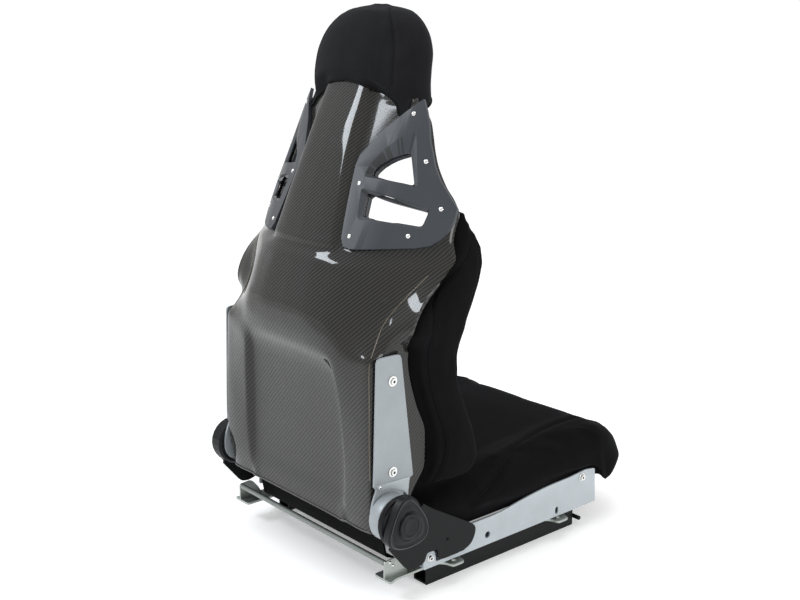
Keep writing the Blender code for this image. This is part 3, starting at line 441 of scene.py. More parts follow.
def tube_mesh(points, radius, sides=8, closed=False):
    """Round bead along points, capped unless closed; radius may vary."""
    p = np.array(points, float)
    n = len(p)
    rr = np.broadcast_to(radius, n)
    if closed:
        tan = np.roll(p, -1, 0) - np.roll(p, 1, 0)
    else:
        tan = np.gradient(p, axis=0)
    tan /= np.linalg.norm(tan, axis=1)[:, None]
    up = np.array([0.0, 0.0, 1.0]) if abs(tan[0][2]) < 0.9 else np.array([0.0, 1.0, 0.0])
    verts, faces = [], []
    nrm = np.cross(tan[0], up)
    for i in range(n):
        nrm = nrm - tan[i] * nrm.dot(tan[i])
        nrm /= np.linalg.norm(nrm)
        bi = np.cross(tan[i], nrm)
        for k in range(sides):
            a = 2 * math.pi * k / sides
            verts.append(p[i] + rr[i] * (math.cos(a) * nrm + math.sin(a) * bi))
    for i in range(n if closed else n - 1):
        j = (i + 1) % n
        for k in range(sides):
            k2 = (k + 1) % sides
            faces.append((i * sides + k, i * sides + k2, j * sides + k2, j * sides + k))
    if not closed:
        faces.append(tuple(range(sides))[::-1])
        faces.append(tuple((n - 1) * sides + k for k in range(sides)))
    return mesh_from(verts, faces)


def join_meshes(meshes):
    bm = bmesh.new()
    for me in meshes:
        bm.from_mesh(me)
    out = bpy.data.meshes.new("joined")
    bm.to_mesh(out)
    bm.free()
    return out


def mirrored(me):
    out = me.copy()
    out.transform(Matrix.Diagonal((-1, 1, 1, 1)))
    out.flip_normals()
    return out


def coords(me):
    a = np.empty(len(me.vertices) * 3, np.float32)
    me.vertices.foreach_get("co", a)
    return a.reshape(-1, 3).astype(float)


def set_coords(me, a):
    me.vertices.foreach_set("co", np.asarray(a, np.float32).ravel())
    me.update()


def normals(me):
    a = np.empty(len(me.vertices) * 3, np.float32)
    me.vertex_normals.foreach_get("vector", a)
    return a.reshape(-1, 3).astype(float)


def tree_of_mesh(me):
    return BVHTree.FromPolygons([v.co for v in me.vertices], [tuple(p.vertices) for p in me.polygons])


def smoothed(me, rounds, factor=0.5, keep=None):
    """Plain Laplacian smoothing; keep is a weight per vertex, 0 where it stays."""
    e = np.empty(len(me.edges) * 2, np.int32)
    me.edges.foreach_get("vertices", e)
    e = e.reshape(-1, 2)
    co = coords(me)
    deg = np.bincount(e.ravel(), minlength=len(co)).astype(float)[:, None]
    k = factor if keep is None else factor * np.asarray(keep)[:, None]
    for _ in range(rounds):
        s = np.zeros_like(co)
        np.add.at(s, e[:, 0], co[e[:, 1]])
        np.add.at(s, e[:, 1], co[e[:, 0]])
        co = co + k * (s / deg - co)
    set_coords(me, co)


def eased_volume(me, rounds):
    """Smoothing that pushes back after each pass, so the form keeps its size."""
    for _ in range(rounds):
        smoothed(me, 1, 0.50)
        smoothed(me, 1, -0.52)


def remeshed(me, voxel, name):
    o = bpy.data.objects.new(name, me)
    scene.collection.objects.link(o)
    m = o.modifiers.new("voxels", "REMESH")
    m.mode = "VOXEL"
    m.voxel_size = voxel
    m.use_smooth_shade = True
    out = applied(o, name)
    drop(o)
    return out


def inflated(me, cap, pressure=4.0, weight=None, frames=20):
    """Cloth under pressure, without gravity; each point's way is held under cap."""
    rest = coords(me)
    o = bpy.data.objects.new("soft", me)
    scene.collection.objects.link(o)
    c = o.modifiers.new("cloth", "CLOTH")
    s = c.settings
    s.quality = 5
    s.mass = 0.3
    s.tension_stiffness = s.compression_stiffness = 12
    s.shear_stiffness = 6
    s.bending_stiffness = 0.6
    s.use_pressure = True
    s.uniform_pressure_force = pressure
    s.effector_weights.gravity = 0.0
    if weight is not None:
        vg = o.vertex_groups.new(name="held")
        for i in np.nonzero(weight < 0.5)[0]:
            vg.add([int(i)], 1.0, "REPLACE")
        s.vertex_group_mass = "held"
        s.pin_stiffness = 1.0
    c.point_cache.frame_start = 1
    c.point_cache.frame_end = frames
    for f in range(1, frames + 1):
        scene.frame_set(f)
    dg = bpy.context.evaluated_depsgraph_get()
    co = np.empty(len(me.vertices) * 3, np.float32)
    o.evaluated_get(dg).data.vertices.foreach_get("co", co)
    d = co.reshape(-1, 3).astype(float) - rest
    ln = np.linalg.norm(d, axis=1)[:, None] + 1e-9
    d = d / ln * cap * np.tanh(ln / cap)
    if weight is not None:
        d *= np.asarray(weight)[:, None]
    o.modifiers.clear()
    scene.frame_set(1)
    out = me.copy()
    drop(o)
    set_coords(out, rest + d)
    return out


def subdivided(me, name):
    o = bpy.data.objects.new(name, me)
    scene.collection.objects.link(o)
    m = o.modifiers.new("fine", "SUBSURF")
    m.levels = m.render_levels = 1
    out = applied(o, name)
    drop(o)
    return out


def groove(me, line, depth, width, ridge=0.0):
    """Sewn channel: points near the line sink, with a slight roll beside it."""
    co, nn = coords(me), normals(me)
    p = np.array(line, float)
    best = np.full(len(co), 1e9)
    for a, b in zip(p[:-1], p[1:]):
        ab = b - a
        t = np.clip(((co - a) @ ab) / max(ab @ ab, 1e-12), 0, 1)
        best = np.minimum(best, np.linalg.norm(co - (a + t[:, None] * ab), axis=1))
    sink = -depth * np.exp(-(best / width) ** 2)
    roll = ridge * np.exp(-((best - 2.6 * width) / (1.5 * width)) ** 2)
    set_coords(me, co + nn * (sink + roll)[:, None])


def on_surface(tree, points, direction, lift=0.0):
    """Points moved along direction until they meet the surface."""
    out = []
    d = Vector(direction).normalized()
    for q in points:
        hit, nrm, _, _ = tree.ray_cast(Vector(q) - d * 0.30, d)
        if hit is not None:
            out.append(tuple(hit + nrm * lift))
    return out


def polar_piece(y, z, side, base, radius, height, rings, spokes=96, back=True):
    """Face turned outwards along X: radius(angle) is its outline, height(share, angle) its relief over base."""
    verts, faces = [], []
    for share in rings:
        for k in range(spokes):
            a = 2 * math.pi * k / spokes
            r = radius(a) * min(share, 1.0)
            verts.append((side * (base + height(share, a)), y + r * math.cos(a), z + r * math.sin(a)))
    m = len(rings)
    for i in range(m - 1):
        for k in range(spokes):
            k2 = (k + 1) % spokes
            faces.append((i * spokes + k, i * spokes + k2, (i + 1) * spokes + k2, (i + 1) * spokes + k))
    faces.append(tuple(range(spokes)))
    if back:
        faces.append(tuple((m - 1) * spokes + k for k in range(spokes)))
    return mesh_from(verts, faces)


# ================================================================ carbon shell
FLANK, SHELL_T, BEZEL_T, GAP = 0.2064, 0.004, 0.0062, 0.0003
BEZEL_P = Vector((-0.0908, 0.2515, 0.6674))
BEZEL_N = Vector((-0.2845, 0.869, 0.4048)).normalized()
CREASE = np.array([(0.569, 0.0760, 0.3020), (0.600, 0.0715, 0.2910), (0.639, 0.0670, 0.2770),
                   (0.669, 0.0620, 0.2660), (0.720, 0.0550, 0.2470), (0.769, 0.0510, 0.2265),
                   (0.810, 0.0480, 0.2070), (0.830, 0.0465, 0.1975)])
WING = np.array([(0.560, 0.2460), (0.575, 0.2400), (0.590, 0.2340), (0.610, 0.2330), (0.630, 0.2320),
                 (0.650, 0.2165), (0.672, 0.1985), (0.697, 0.1845), (0.731, 0.1690),
                 (0.757, 0.1615), (0.776, 0.1470), (0.793, 0.1250)])


def plane_y(w, z):
    n = BEZEL_N
    return BEZEL_P.y - (n.x * (-w - BEZEL_P.x) + n.z * (z - BEZEL_P.z)) / n.y


def ramp(t, soft=0.020):
    if t < -soft:
        return 0.0
    return t if t > soft else (t + soft) ** 2 / (4 * soft)


def bezel_y(w, z):
    return plane_y(w, z) - 0.42 * ramp(w - 0.138)


def floor_y(w, z, t=BEZEL_T + 3 * GAP):
    return bezel_y(w - BEZEL_N.x * t, z + BEZEL_N.z * t) - BEZEL_N.y * t


def interp(z, zs, vs):
    return float(np.interp(z, zs, vs))


def lower_row(z, rim, pocket, flank_front):
    f = rim - pocket
    k = interp(z, (0.12, 0.24, 0.34, 0.392), (0.138, 0.141, 0.133, 0.122))
    corner = interp(z, (0.121, 0.175, 0.222, 0.30, 0.40), (0.194, 0.2010, 0.2040, 0.2020, 0.1985))
    edge = interp(z, (0.121, 0.175, 0.222, 0.27, 0.32, 0.40), (0.320, 0.326, 0.3275, 0.3270, 0.3250, 0.3225))
    return [(0, f), (0.05, f), (k - 0.032, f + 0.0006), (k - 0.013, f + 0.0022), (k, rim - 0.0008),
            (0.45 * k + 0.55 * corner, 0.45 * rim + 0.55 * edge + 0.0015), (corner, edge),
            (FLANK, 0.5 * (edge + flank_front)), (FLANK, flank_front)]


ROWS = [
    (0.121, lower_row(0.121, 0.3215, 0.000, 0.262)),
    (0.145, lower_row(0.145, 0.3255, 0.005, 0.256)),
    (0.175, lower_row(0.175, 0.3280, 0.011, 0.241)),
    (0.222, lower_row(0.222, 0.3295, 0.014, 0.2140)),
    (0.270, lower_row(0.270, 0.3310, 0.015, 0.2145)),
    (0.320, lower_row(0.320, 0.3335, 0.015, 0.2330)),
    (0.365, lower_row(0.365, 0.3370, 0.0135, 0.2465)),
    (0.386, lower_row(0.386, 0.3400, 0.0100, 0.2506)),
    (0.396, lower_row(0.396, 0.3412, 0.0062, 0.2515)),
    (0.4055, [(0, 0.3424), (0.05, 0.3422), (0.078, 0.3413), (0.100, 0.3402), (0.122, 0.3381),
              (0.163, 0.3322), (0.1985, 0.3215), (0.2064, 0.271), (0.2074, 0.2521)]),
    (0.412, [(0, 0.3442), (0.05, 0.3441), (0.080, 0.3431), (0.105, 0.3415), (0.130, 0.3375),
             (0.165, 0.3308), (0.1978, 0.3192), (0.2062, 0.270), (0.2086, 0.2526)]),
    (0.4170, [(0, 0.3448), (0.05, 0.3447), (0.0826, 0.3433), (0.1066, 0.3413), (0.1323, 0.3367),
              (0.165, 0.3287), (0.1957, 0.3142), (0.2064, 0.2715), (0.2074, 0.2528)]),
    (0.430, [(0, 0.3465), (0.05, 0.3460), (0.088, 0.3440), (0.110, 0.3410), (0.137, 0.3350),
             (0.165, 0.3240), (0.1915, 0.3035), (0.2150, 0.2860), (0.2280, 0.2710)]),
    (0.456, [(0, 0.3455), (0.05, 0.3450), (0.088, 0.3415), (0.112, 0.3370), (0.138, 0.3260),
             (0.160, 0.3060), (0.1850, 0.2850), (0.2210, 0.2820), (0.2440, 0.2760)]),
    (0.481, [(0, 0.3400), (0.05, 0.3390), (0.088, 0.3345), (0.114, 0.3270), (0.142, 0.3100),
             (0.168, 0.2850), (0.1940, 0.2660), (0.2220, 0.2670), (0.2440, 0.2650)]),
    (0.508, [(0, 0.3320), (0.05, 0.3310), (0.085, 0.3255), (0.113, 0.3170), (0.145, 0.2995),
             (0.180, 0.2770), (0.2120, 0.2565), (0.2330, 0.2540), (0.2470, 0.2495)]),
    (0.530, [(0, 0.3245), (0.048, 0.323), (0.081, 0.3173), (0.111, 0.3086), (0.150, 0.2888),
             (0.190, 0.2628), (0.2240, 0.2362), (0.2395, 0.2270), (0.2480, 0.2190)]),
    (0.5505, [(0, 0.3175), (0.045, 0.3163), (0.0775, 0.3108), (0.104, 0.3020), (0.150, 0.2798),
              (0.195, 0.2498), (0.2330, 0.2168), (0.2420, 0.2055), (0.2480, 0.1955)]),
]


OUTLINE = [(0.1480, 0.7975), (0.1565, 0.7810), (0.1650, 0.7620), (0.1734, 0.7360), (0.1820, 0.7175),
           (0.1895, 0.7000), (0.2032, 0.6772), (0.2210, 0.6553), (0.2363, 0.6367), (0.2375, 0.6240),
           (0.2365, 0.6120), (0.2341, 0.6012), (0.2286, 0.5893), (0.2184, 0.5800), (0.2020, 0.5755),
           (0.1112, 0.5680), (0.0988, 0.5709), (0.0910, 0.5825), (0.0855, 0.6091), (0.0778, 0.6544),
           (0.0725, 0.6920), (0.0741, 0.7080), (0.0794, 0.7175), (0.0906, 0.7350), (0.1019, 0.7510),
           (0.1208, 0.7700)]
WIN_UP = [(0.1530, 0.7175), (0.1715, 0.6687), (0.1020, 0.6800), (0.1090, 0.6940), (0.1260, 0.7070),
          (0.1420, 0.7145)]
WIN_LOW = [(0.1070, 0.6540), (0.1120, 0.6180), (0.1990, 0.6080), (0.2010, 0.6310)]
# outer edges of the slopes that lead into the windows, point for point
SLOPE_UP = [(0.1525, 0.7480), (0.1785, 0.6655), (0.0925, 0.6770), (0.0985, 0.6985), (0.1150, 0.7215),
            (0.1330, 0.7385)]
SLOPE_LOW = [(0.0960, 0.6600), (0.1065, 0.6130), (0.2010, 0.6035), (0.2045, 0.6335)]


def wing_row(z):
    cw = interp(z, CREASE[:, 0], CREASE[:, 1])
    cy = interp(z, CREASE[:, 0], CREASE[:, 2])
    out = interp(z, WING[:, 0], WING[:, 1])
    crown = interp(z, (0.569, 0.81), (0.0085, 0.0045))
    foot = cw + 0.011
    cols = [(0, cy + crown), (cw * 0.6, cy + crown * 0.75), (cw, cy), (foot, floor_y(foot, z))]
    if z > 0.80:
        out = interp(z, (0.80, 0.808, 0.830), (0.118, 0.108, 0.100))
        for k in (0.0120, 0.0080, 0.0040):
            w = out - k
            cols.append((w, floor_y(w, z)))
        cols.append((out - 0.0015, floor_y(out, z) - 0.0005))
        cols.append((out, floor_y(out, z) - 0.0060))
        return cols
    d = min(0.040, 0.9 * (out - 0.0015 - 0.118))
    for k in (0, 0.5, 1):
        w = 0.118 + d * k
        cols.append((w, floor_y(w, z)))
    cols.append((out - 0.0015, floor_y(out, z) - 0.0005))
    cols.append((out, floor_y(out, z) - 0.0090))
    return cols


for z in (0.5600, 0.570, 0.585, 0.605, 0.625, 0.644, 0.664, 0.690, 0.715, 0.740, 0.765, 0.785, 0.798,
          0.808, 0.818, 0.828):
    ROWS.append((z, wing_row(z)))

FINE = 9
ROW_Z = np.array([r[0] for r in ROWS])
CAGE = np.array([r[1] for r in ROWS])                   # rows, columns, (w, y)
kq = np.linspace(0, 8, 8 * FINE + 1)
zq = np.concatenate([np.arange(0.121, 0.380, 0.0045), np.arange(0.380, 0.414, 0.0020),
                     np.arange(0.414, 0.546, 0.0042), np.arange(0.546, 0.575, 0.0015),
                     np.arange(0.575, 0.828, 0.0040), [0.828]])
wide = np.array([pchip(np.arange(9), CAGE[i], kq) for i in range(len(CAGE))])     # rows, fine, 2
lin = np.linspace(0, 1, FINE + 1)[:, None]
for i in np.nonzero(ROW_Z > 0.559)[0]:
    wide[i, 3 * FINE:4 * FINE + 1] = CAGE[i, 3] + (CAGE[i, 4] - CAGE[i, 3]) * lin
dense = pchip(ROW_Z, wide.reshape(len(ROWS), -1), zq).reshape(len(zq), len(kq), 2)
# each fine row's points, right to left, and lengths along the cloth
half_len = np.concatenate([np.zeros((len(zq), 1)), np.cumsum(np.hypot(
    np.diff(dense[:, :, 0], axis=1), np.diff(dense[:, :, 1], axis=1)), axis=1)], axis=1)
up_len = np.concatenate([[0], np.cumsum(np.hypot(np.diff(zq), np.diff(dense[:, 0, 1])))])
verts, uvs = [], []
cols = 2 * len(kq) - 1
for i, z in enumerate(zq):
    for j in range(cols):
        k = abs(j - (len(kq) - 1))
        s = -1 if j < len(kq) - 1 else 1
        w, y = dense[i, k]
        verts.append((s * w, y, z))
        uvs.append((10.0 + s * half_len[i, k], 10.0 + up_len[i]))
faces = [(i * cols + j, (i + 1) * cols + j, (i + 1) * cols + j + 1, i * cols + j + 1)
         for i in range(len(zq) - 1) for j in range(cols - 1)]
me = bpy.data.meshes.new("shell_face")
me.from_pydata([tuple(map(float, v)) for v in verts], [], faces)
layer = me.uv_layers.new(name="weave")
loop_v = np.empty(len(me.loops), np.int32)
me.loops.foreach_get("vertex_index", loop_v)
layer.data.foreach_set("uv", np.array(uvs, np.float32)[loop_v].ravel())
smoothed(me, 2, 0.35, [0.0 if (i % cols in (0, cols - 1) or i < cols or i >= len(verts) - cols) else 1.0
                       for i in range(len(verts))])
co = coords(me)
along = np.abs(co[:, 0])
soft = np.maximum.reduce([
    0.9 * np.exp(-((co[:, 2] - 0.400) / 0.015) ** 2) * np.clip((0.19 - along) / 0.02, 0, 1),
    np.exp(-((co[:, 2] - 0.5560) / 0.0100) ** 2),
    np.clip((co[:, 2] - 0.412) / 0.012, 0, 1) * np.clip((0.545 - co[:, 2]) / 0.02, 0, 1)
    * np.clip((along - 0.110) / 0.03, 0, 1)])
rim_col = np.arange(len(co)) % cols
soft[(rim_col < 1) | (rim_col > cols - 2)] = 0
grid = co.reshape(len(zq), cols, 3)
free = (zq > 0.425) & (zq < 0.548)
for _ in range(30):
    for j in (0, cols - 1):
        mid = grid[1:-1, j] + 0.5 * (0.5 * (grid[:-2, j] + grid[2:, j]) - grid[1:-1, j])
        grid[1:-1, j] = np.where(free[1:-1, None], mid, grid[1:-1, j])
set_coords(me, grid.reshape(-1, 3))
smoothed(me, 70, 0.5, soft)
# lengths along the cloth, taken from the finished face
grid = coords(me).reshape(len(zq), cols, 3)
across = np.concatenate([np.zeros((len(zq), 1)), np.cumsum(np.linalg.norm(np.diff(grid, axis=1), axis=2), axis=1)], axis=1)
across -= across[:, len(kq) - 1:len(kq)]
upward = np.concatenate([[0], np.cumsum(np.linalg.norm(np.diff(grid[:, len(kq) - 1], axis=0), axis=1))])
uvs = np.stack([10.0 + across, np.broadcast_to((10.0 + upward)[:, None], across.shape)], axis=2).reshape(-1, 2)
me.uv_layers["weave"].data.foreach_set("uv", uvs.astype(np.float32)[loop_v].ravel())


def pierced(me, outlines):
    """Opens the faces inside each outline of (w, z) and draws the hole's edge onto the outline."""
    bm = bmesh.new()
    bm.from_mesh(me)
    for pts in outlines:
        q = np.array(pts, float)
        nxt = np.roll(q, -1, 0)

        def inside(w, z):
            hit = (q[:, 1] > z) != (nxt[:, 1] > z)
            with np.errstate(divide="ignore", invalid="ignore"):
                cut = w < (nxt[:, 0] - q[:, 0]) * (z - q[:, 1]) / (nxt[:, 1] - q[:, 1]) + q[:, 0]
            return int(np.sum(hit & cut)) % 2 == 1
        gone = [f for f in bm.faces if f.calc_center_median().y > 0.15
                and inside(abs(f.calc_center_median().x), f.calc_center_median().z)]
        rim = {v for f in gone for v in f.verts}
        bmesh.ops.delete(bm, geom=gone, context="FACES")
        for v in rim:
            if not v.is_valid or not v.link_faces:
                continue
            p = np.array((abs(v.co.x), v.co.z))
            ab = nxt - q
            t = np.clip(((p - q) * ab).sum(1) / (ab * ab).sum(1), 0, 1)
            near = q + t[:, None] * ab
            w, z = near[np.argmin(np.hypot(*(near - p).T))]
            v.co = (math.copysign(w, v.co.x), floor_y(w, z), z)
    bm.to_mesh(me)
    bm.free()


pierced(me, [rounded(inset(h, -0.0028), 0.006, 3) for h in (WIN_UP, WIN_LOW)])
if np.mean(normals(me)[:, 1]) < 0:
    me.flip_normals()
shell = new_object("carbon_back_shell", me, CARBON, None, None)
me.shade_smooth()
m = shell.modifiers.new("wall", "SOLIDIFY")
m.thickness = SHELL_T
m.offset = -1
m.use_even_offset = False

def layered(outlines, side, n0, n1, slices=9):
    """Outlines laid on the bezel face, solid between offsets n0 and n1 along its normal."""
    bm = flat_mesh(outlines, 1.0)
    bmesh.ops.dissolve_limit(bm, angle_limit=0.001, verts=bm.verts, edges=bm.edges)
    for k in range(slices):
        geom = bm.verts[:] + bm.edges[:] + bm.faces[:]
        bmesh.ops.bisect_plane(bm, geom=geom, dist=1e-6, plane_co=(0.118 + 0.0050 * k, 0, 0),
                               plane_no=(1, 0, 0))
    for v in bm.verts:
        n = n0 if v.co.z < 0 else n1
        w, z = v.co.x, v.co.y
        v.co = (side * (w - BEZEL_N.x * n), bezel_y(w, z) + BEZEL_N.y * n, z + BEZEL_N.z * n)
    bmesh.ops.recalc_face_normals(bm, faces=bm.faces)
    me = bpy.data.meshes.new("layered")
    bm.to_mesh(me)
    bm.free()
    return me


def frustum(outer, inner, side, n_outer, n_inner, n_end):
    """Closed cutter: from outline outer at n_outer in to outline inner at n_inner, then straight to n_end."""
    verts, faces = [], []
    n = len(outer)

    def put(w, z, k):
        verts.append((side * (w - BEZEL_N.x * k), bezel_y(w, z) + BEZEL_N.y * k, z + BEZEL_N.z * k))
    for ring, k in ((outer, 0.030), (outer, n_outer), (inner, n_inner), (inner, n_end)):
        for w, z in ring:
            put(w, z, k)
    for r in range(3):
        for i in range(n):
            j = (i + 1) % n
            faces.append((r * n + i, r * n + j, (r + 1) * n + j, (r + 1) * n + i))
    faces.append(tuple(range(n)))
    faces.append(tuple(3 * n + i for i in range(n)))
    return mesh_from(verts, faces)


HOLE_UP, HOLE_LOW = rounded(WIN_UP, 0.005, 4), rounded(WIN_LOW, 0.005, 4)
RIM_UP, RIM_LOW = rounded(SLOPE_UP, 0.006, 4), rounded(SLOPE_LOW, 0.006, 4)


def within(outline, w, z):
    q = np.array(outline, float)
    nxt = np.roll(q, -1, 0)
    hit = (q[:, 1] > z) != (nxt[:, 1] > z)
    run = np.where(hit, nxt[:, 1] - q[:, 1], 1.0)
    return int(np.sum(hit & (w < (nxt[:, 0] - q[:, 0]) * (z - q[:, 1]) / run + q[:, 0]))) % 2 == 1


def cut_with(o, meshes, how="DIFFERENCE"):
    for i, me in enumerate(meshes):
        c = bpy.data.objects.new("cutter_%d" % i, me)
        scene.collection.objects.link(c)
        c.hide_render = True
        c.hide_viewport = False
        m = o.modifiers.new("cut_%d" % i, "BOOLEAN")
        m.object = c
        m.operation = how
        m.solver = "EXACT"
    me = applied(o, o.name)
    old = [m.object for m in o.modifiers if m.type == "BOOLEAN"]
    o.modifiers.clear()
    o.data = me
    for c in old:
        drop(c)
    return o


me = applied(shell, "carbon_back_shell")
shell.modifiers.clear()
shell.data = me
shell.data.materials.clear()
shell.data.materials.append(CARBON)
shell.data.shade_smooth()
shell.data.set_sharp_from_angle(angle=math.radians(55))
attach(shell, "backrest")
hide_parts("back_shell")
shell_tree = tree_of_mesh(shell.data)

# ================================================================ harness bezels with screws
SCREWS = [(0.1410, 0.7747), (0.1780, 0.7036), (0.2170, 0.6342), (0.1871, 0.5925), (0.1039, 0.5865),
          (0.0900, 0.6660)]
screw_prof = [(0.0007, 0.0008), (0.0014, 0.0008), (0.0016, 0.0017), (0.0026, 0.0014), (0.0034, 0.0008),
              (0.0036, -0.0006), (0.0036, -0.0030)]


def screw_mesh(place):
    spokes = 20
    verts, faces = [], []
    for r, h in screw_prof:
        for k in range(spokes):
            a = 2 * math.pi * k / spokes
            verts.append(place @ Vector((r * math.cos(a), r * math.sin(a), h)))
    for i in range(len(screw_prof) - 1):
        for k in range(spokes):
            k2 = (k + 1) % spokes
            faces.append((i * spokes + k, (i + 1) * spokes + k, (i + 1) * spokes + k2, i * spokes + k2))
    faces.append(tuple(range(spokes)))
    faces.append(tuple((len(screw_prof) - 1) * spokes + k for k in range(spokes)))
    return mesh_from(verts, faces)


SLOPES = inset(SLOPE_UP, -0.0022), inset(SLOPE_LOW, -0.0022)
for tag, s in SIDES:
    o = bpy.data.objects.new("harness_bezel_shell_" + tag, layered([OUTLINE], s, -BEZEL_T, 0.0))
    scene.collection.objects.link(o)
    cut_with(o, [frustum(RIM_UP, HOLE_UP, s, 0.0, -0.0042, -0.030),
                 frustum(RIM_LOW, HOLE_LOW, s, 0.0, -0.0036, -0.030)])
    b = o.modifiers.new("rounded_edges", "BEVEL")
    b.width = 0.0011
    b.segments = 3
    b.limit_method = "ANGLE"
    b.angle_limit = math.radians(22)
    me = applied(o, "bezel")
    drop(o)
    o = new_object("harness_bezel_shell_" + tag, me, BEZEL, "backrest", 30)
    # faces on the slopes into the windows take the darker copy: painted shade in the recesses
    me.materials.append(BEZEL_RECESS_SHADE)
    for p in me.polygons:
        p.material_index = 0
        if p.area > 0.0009 or abs(p.center.x) > 0.21:
            continue
        nn = Vector((-s * BEZEL_N.x, BEZEL_N.y, BEZEL_N.z))
        w, z = abs(p.center.x) + 0.0006, p.center.z + 0.0008
        if 0.45 < p.normal.dot(nn) < 0.985 and p.center.y < bezel_y(w, z) - 0.0012 and p.center.y > bezel_y(w, z) - 0.0056 \
                and (within(SLOPES[0], w, z) or (within(SLOPES[1], w, z) and z > 0.618)):
            p.material_index = 1
    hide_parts("harness_bezel_" + tag)
    heads = []
    for w, z in SCREWS:
        e = 0.002
        du = Vector((1, (bezel_y(w + e, z) - bezel_y(w - e, z)) / (2 * e), 0))
        dv = Vector((0, (bezel_y(w, z + e) - bezel_y(w, z - e)) / (2 * e), 1))
        nrm = dv.cross(du).normalized()
        if nrm.y < 0:
            nrm = -nrm
        nrm.x *= s
        q = nrm.to_track_quat("Z", "Y").to_matrix().to_4x4()
        q.translation = Vector((s * w, bezel_y(w, z) + 0.0001, z))
        heads.append(screw_mesh(q))
    new_object("bezel_screws_" + tag, join_meshes(heads), STAINLESS, "backrest", 30)

# ================================================================ head sleeve
HEAD = [(0.755, 0.1485, 0.1230, 0.0590), (0.785, 0.1510, 0.1265, 0.0600), (0.8035, 0.1525, 0.1262, 0.0610),
        (0.815, 0.1530, 0.1258, 0.0615), (0.835, 0.1515, 0.1250, 0.0628),
        (0.860, 0.1470, 0.1230, 0.0630), (0.885, 0.1425, 0.1145, 0.0600), (0.905, 0.1390, 0.1000, 0.0550),
        (0.922, 0.1350, 0.0790, 0.0465), (0.934, 0.1320, 0.0540, 0.0340), (0.9395, 0.1305, 0.0300, 0.0200),
        (0.9405, 0.1300, 0.0120, 0.0085)]
HEM = [(0, 0.8200), (12.7, 0.8165), (23.8, 0.8090), (29.3, 0.8045), (44.6, 0.7925), (54, 0.7835),
       (62.9, 0.7700), (70, 0.7705), (80, 0.7735), (90, 0.7765), (100, 0.7800), (115, 0.7870), (140, 0.7960),
       (180, 0.8005)]
SPOKES, TIERS = 120, 46
hz = np.array([h[0] for h in HEAD])
hv = np.array([h[1:] for h in HEAD])
verts, hem_line = [], []
for t in range(TIERS + 1):
    ring = []
    for k in range(SPOKES):
        a = 2 * math.pi * k / SPOKES
        phi = abs((math.degrees(a) - 90 + 180) % 360 - 180)
        z0 = float(pchip([h[0] for h in HEM], [h[1] for h in HEM], [phi])[0])
        share = t / TIERS
        z = z0 + (0.9405 - z0) * (1 - (1 - share) ** 1.55)
        yc, hw, hd = pchip(hz, hv, [min(z, 0.9405)])[0]
        c, sn = math.cos(a), math.sin(a)
        x = hw * math.copysign(abs(c) ** (2 / 2.3), c)
        y = yc + hd * math.copysign(abs(sn) ** (2 / 2.3), sn)
        under = None
        if sn > 0.02 and z < 0.84:
            hit = shell_tree.ray_cast(Vector((x, 0.5, min(z, 0.8275))), Vector((0, -1, 0)))[0]
            if hit is not None and 0.12 < hit.y < 0.25:
                under = hit.y + 0.0020
                near = max(0.0, 1 - (z - z0) / 0.022)
                y = max(y * (1 - near) + under * near, under)
        ring.append([x, y, z, under])
    # the cloth bridges small hollows in what it lies on
    for _ in range(5):
        ys = [q[1] for q in ring]
        for k in range(SPOKES):
            y = 0.25 * ys[k - 1] + 0.5 * ys[k] + 0.25 * ys[(k + 1) % SPOKES]
            ring[k][1] = y if ring[k][3] is None else max(y, ring[k][3])
    verts += [(x, y, z) for x, y, z, _ in ring]
    if t == 0:
        hem_line = [(x, y, z) for x, y, z, _ in ring]
faces = [(t * SPOKES + k, t * SPOKES + (k + 1) % SPOKES, (t + 1) * SPOKES + (k + 1) % SPOKES,
          (t + 1) * SPOKES + k) for t in range(TIERS) for k in range(SPOKES)]
faces.append(tuple(TIERS * SPOKES + k for k in range(SPOKES)))
# turned-in hem and closed underside
base = len(verts)
for k in range(SPOKES):
    x, y, z = verts[k]
    verts.append((x * 0.965, 0.150 + (y - 0.150) * 0.955, z + 0.0010))
for k in range(SPOKES):
    x, y, z = verts[k]
    verts.append((x * 0.80, 0.150 + (y - 0.150) * 0.72, max(z, 0.800) + 0.006))
for r in range(2):
    lo = 0 if r == 0 else base
    hi = base + r * SPOKES
    for k in range(SPOKES):
        faces.append((lo + k, hi + k, hi + (k + 1) % SPOKES, lo + (k + 1) % SPOKES))
faces.append(tuple(base + SPOKES + k for k in range(SPOKES)))
me = mesh_from(verts, faces, "head_sleeve")
co = coords(me)
keep = np.clip((co[:, 2] - 0.812) / 0.03, 0, 1)
keep[co[:, 2] < 0.83] *= 0.4
me = inflated(me, 0.0030, 3.0, keep)
smoothed(me, 2, 0.4, keep)
head_tree = tree_of_mesh(me)
# side panel seams over the head, one each side
seams = []
for s in (-1, 1):
    line = []
    for z in np.linspace(0.818, 0.934, 40):
        yc, hw, hd = pchip(hz, hv, [z])[0]
        x = s * hw * 0.80
        line.append((x, yc + 0.10, z))
    rear = on_surface(head_tree, line, (0, -1, 0), 0.0001)
    seams.append(rear)
for line in seams:
    if len(line) > 4:
        groove(me, line, 0.0014, 0.0030, 0.0005)
# head sleeve in the lighter copy of the microsuede: painted light
head = new_object("head_sleeve", me, LIT_HEAD_SUEDE, "backrest", 70)
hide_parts("head_pad")
new_object("head_sleeve_hem", tube_mesh([(x * 1.002, y + 0.0002, z + 0.0012) for x, y, z in hem_line],
                                        0.0014, 8, True), PIPING, "backrest")
beads = [tube_mesh(catmull(line[::3], 3, False), 0.00055, 6) for line in seams if len(line) > 6]
if beads:
    new_object("head_sleeve_seams", join_meshes(beads), PIPING, "backrest")


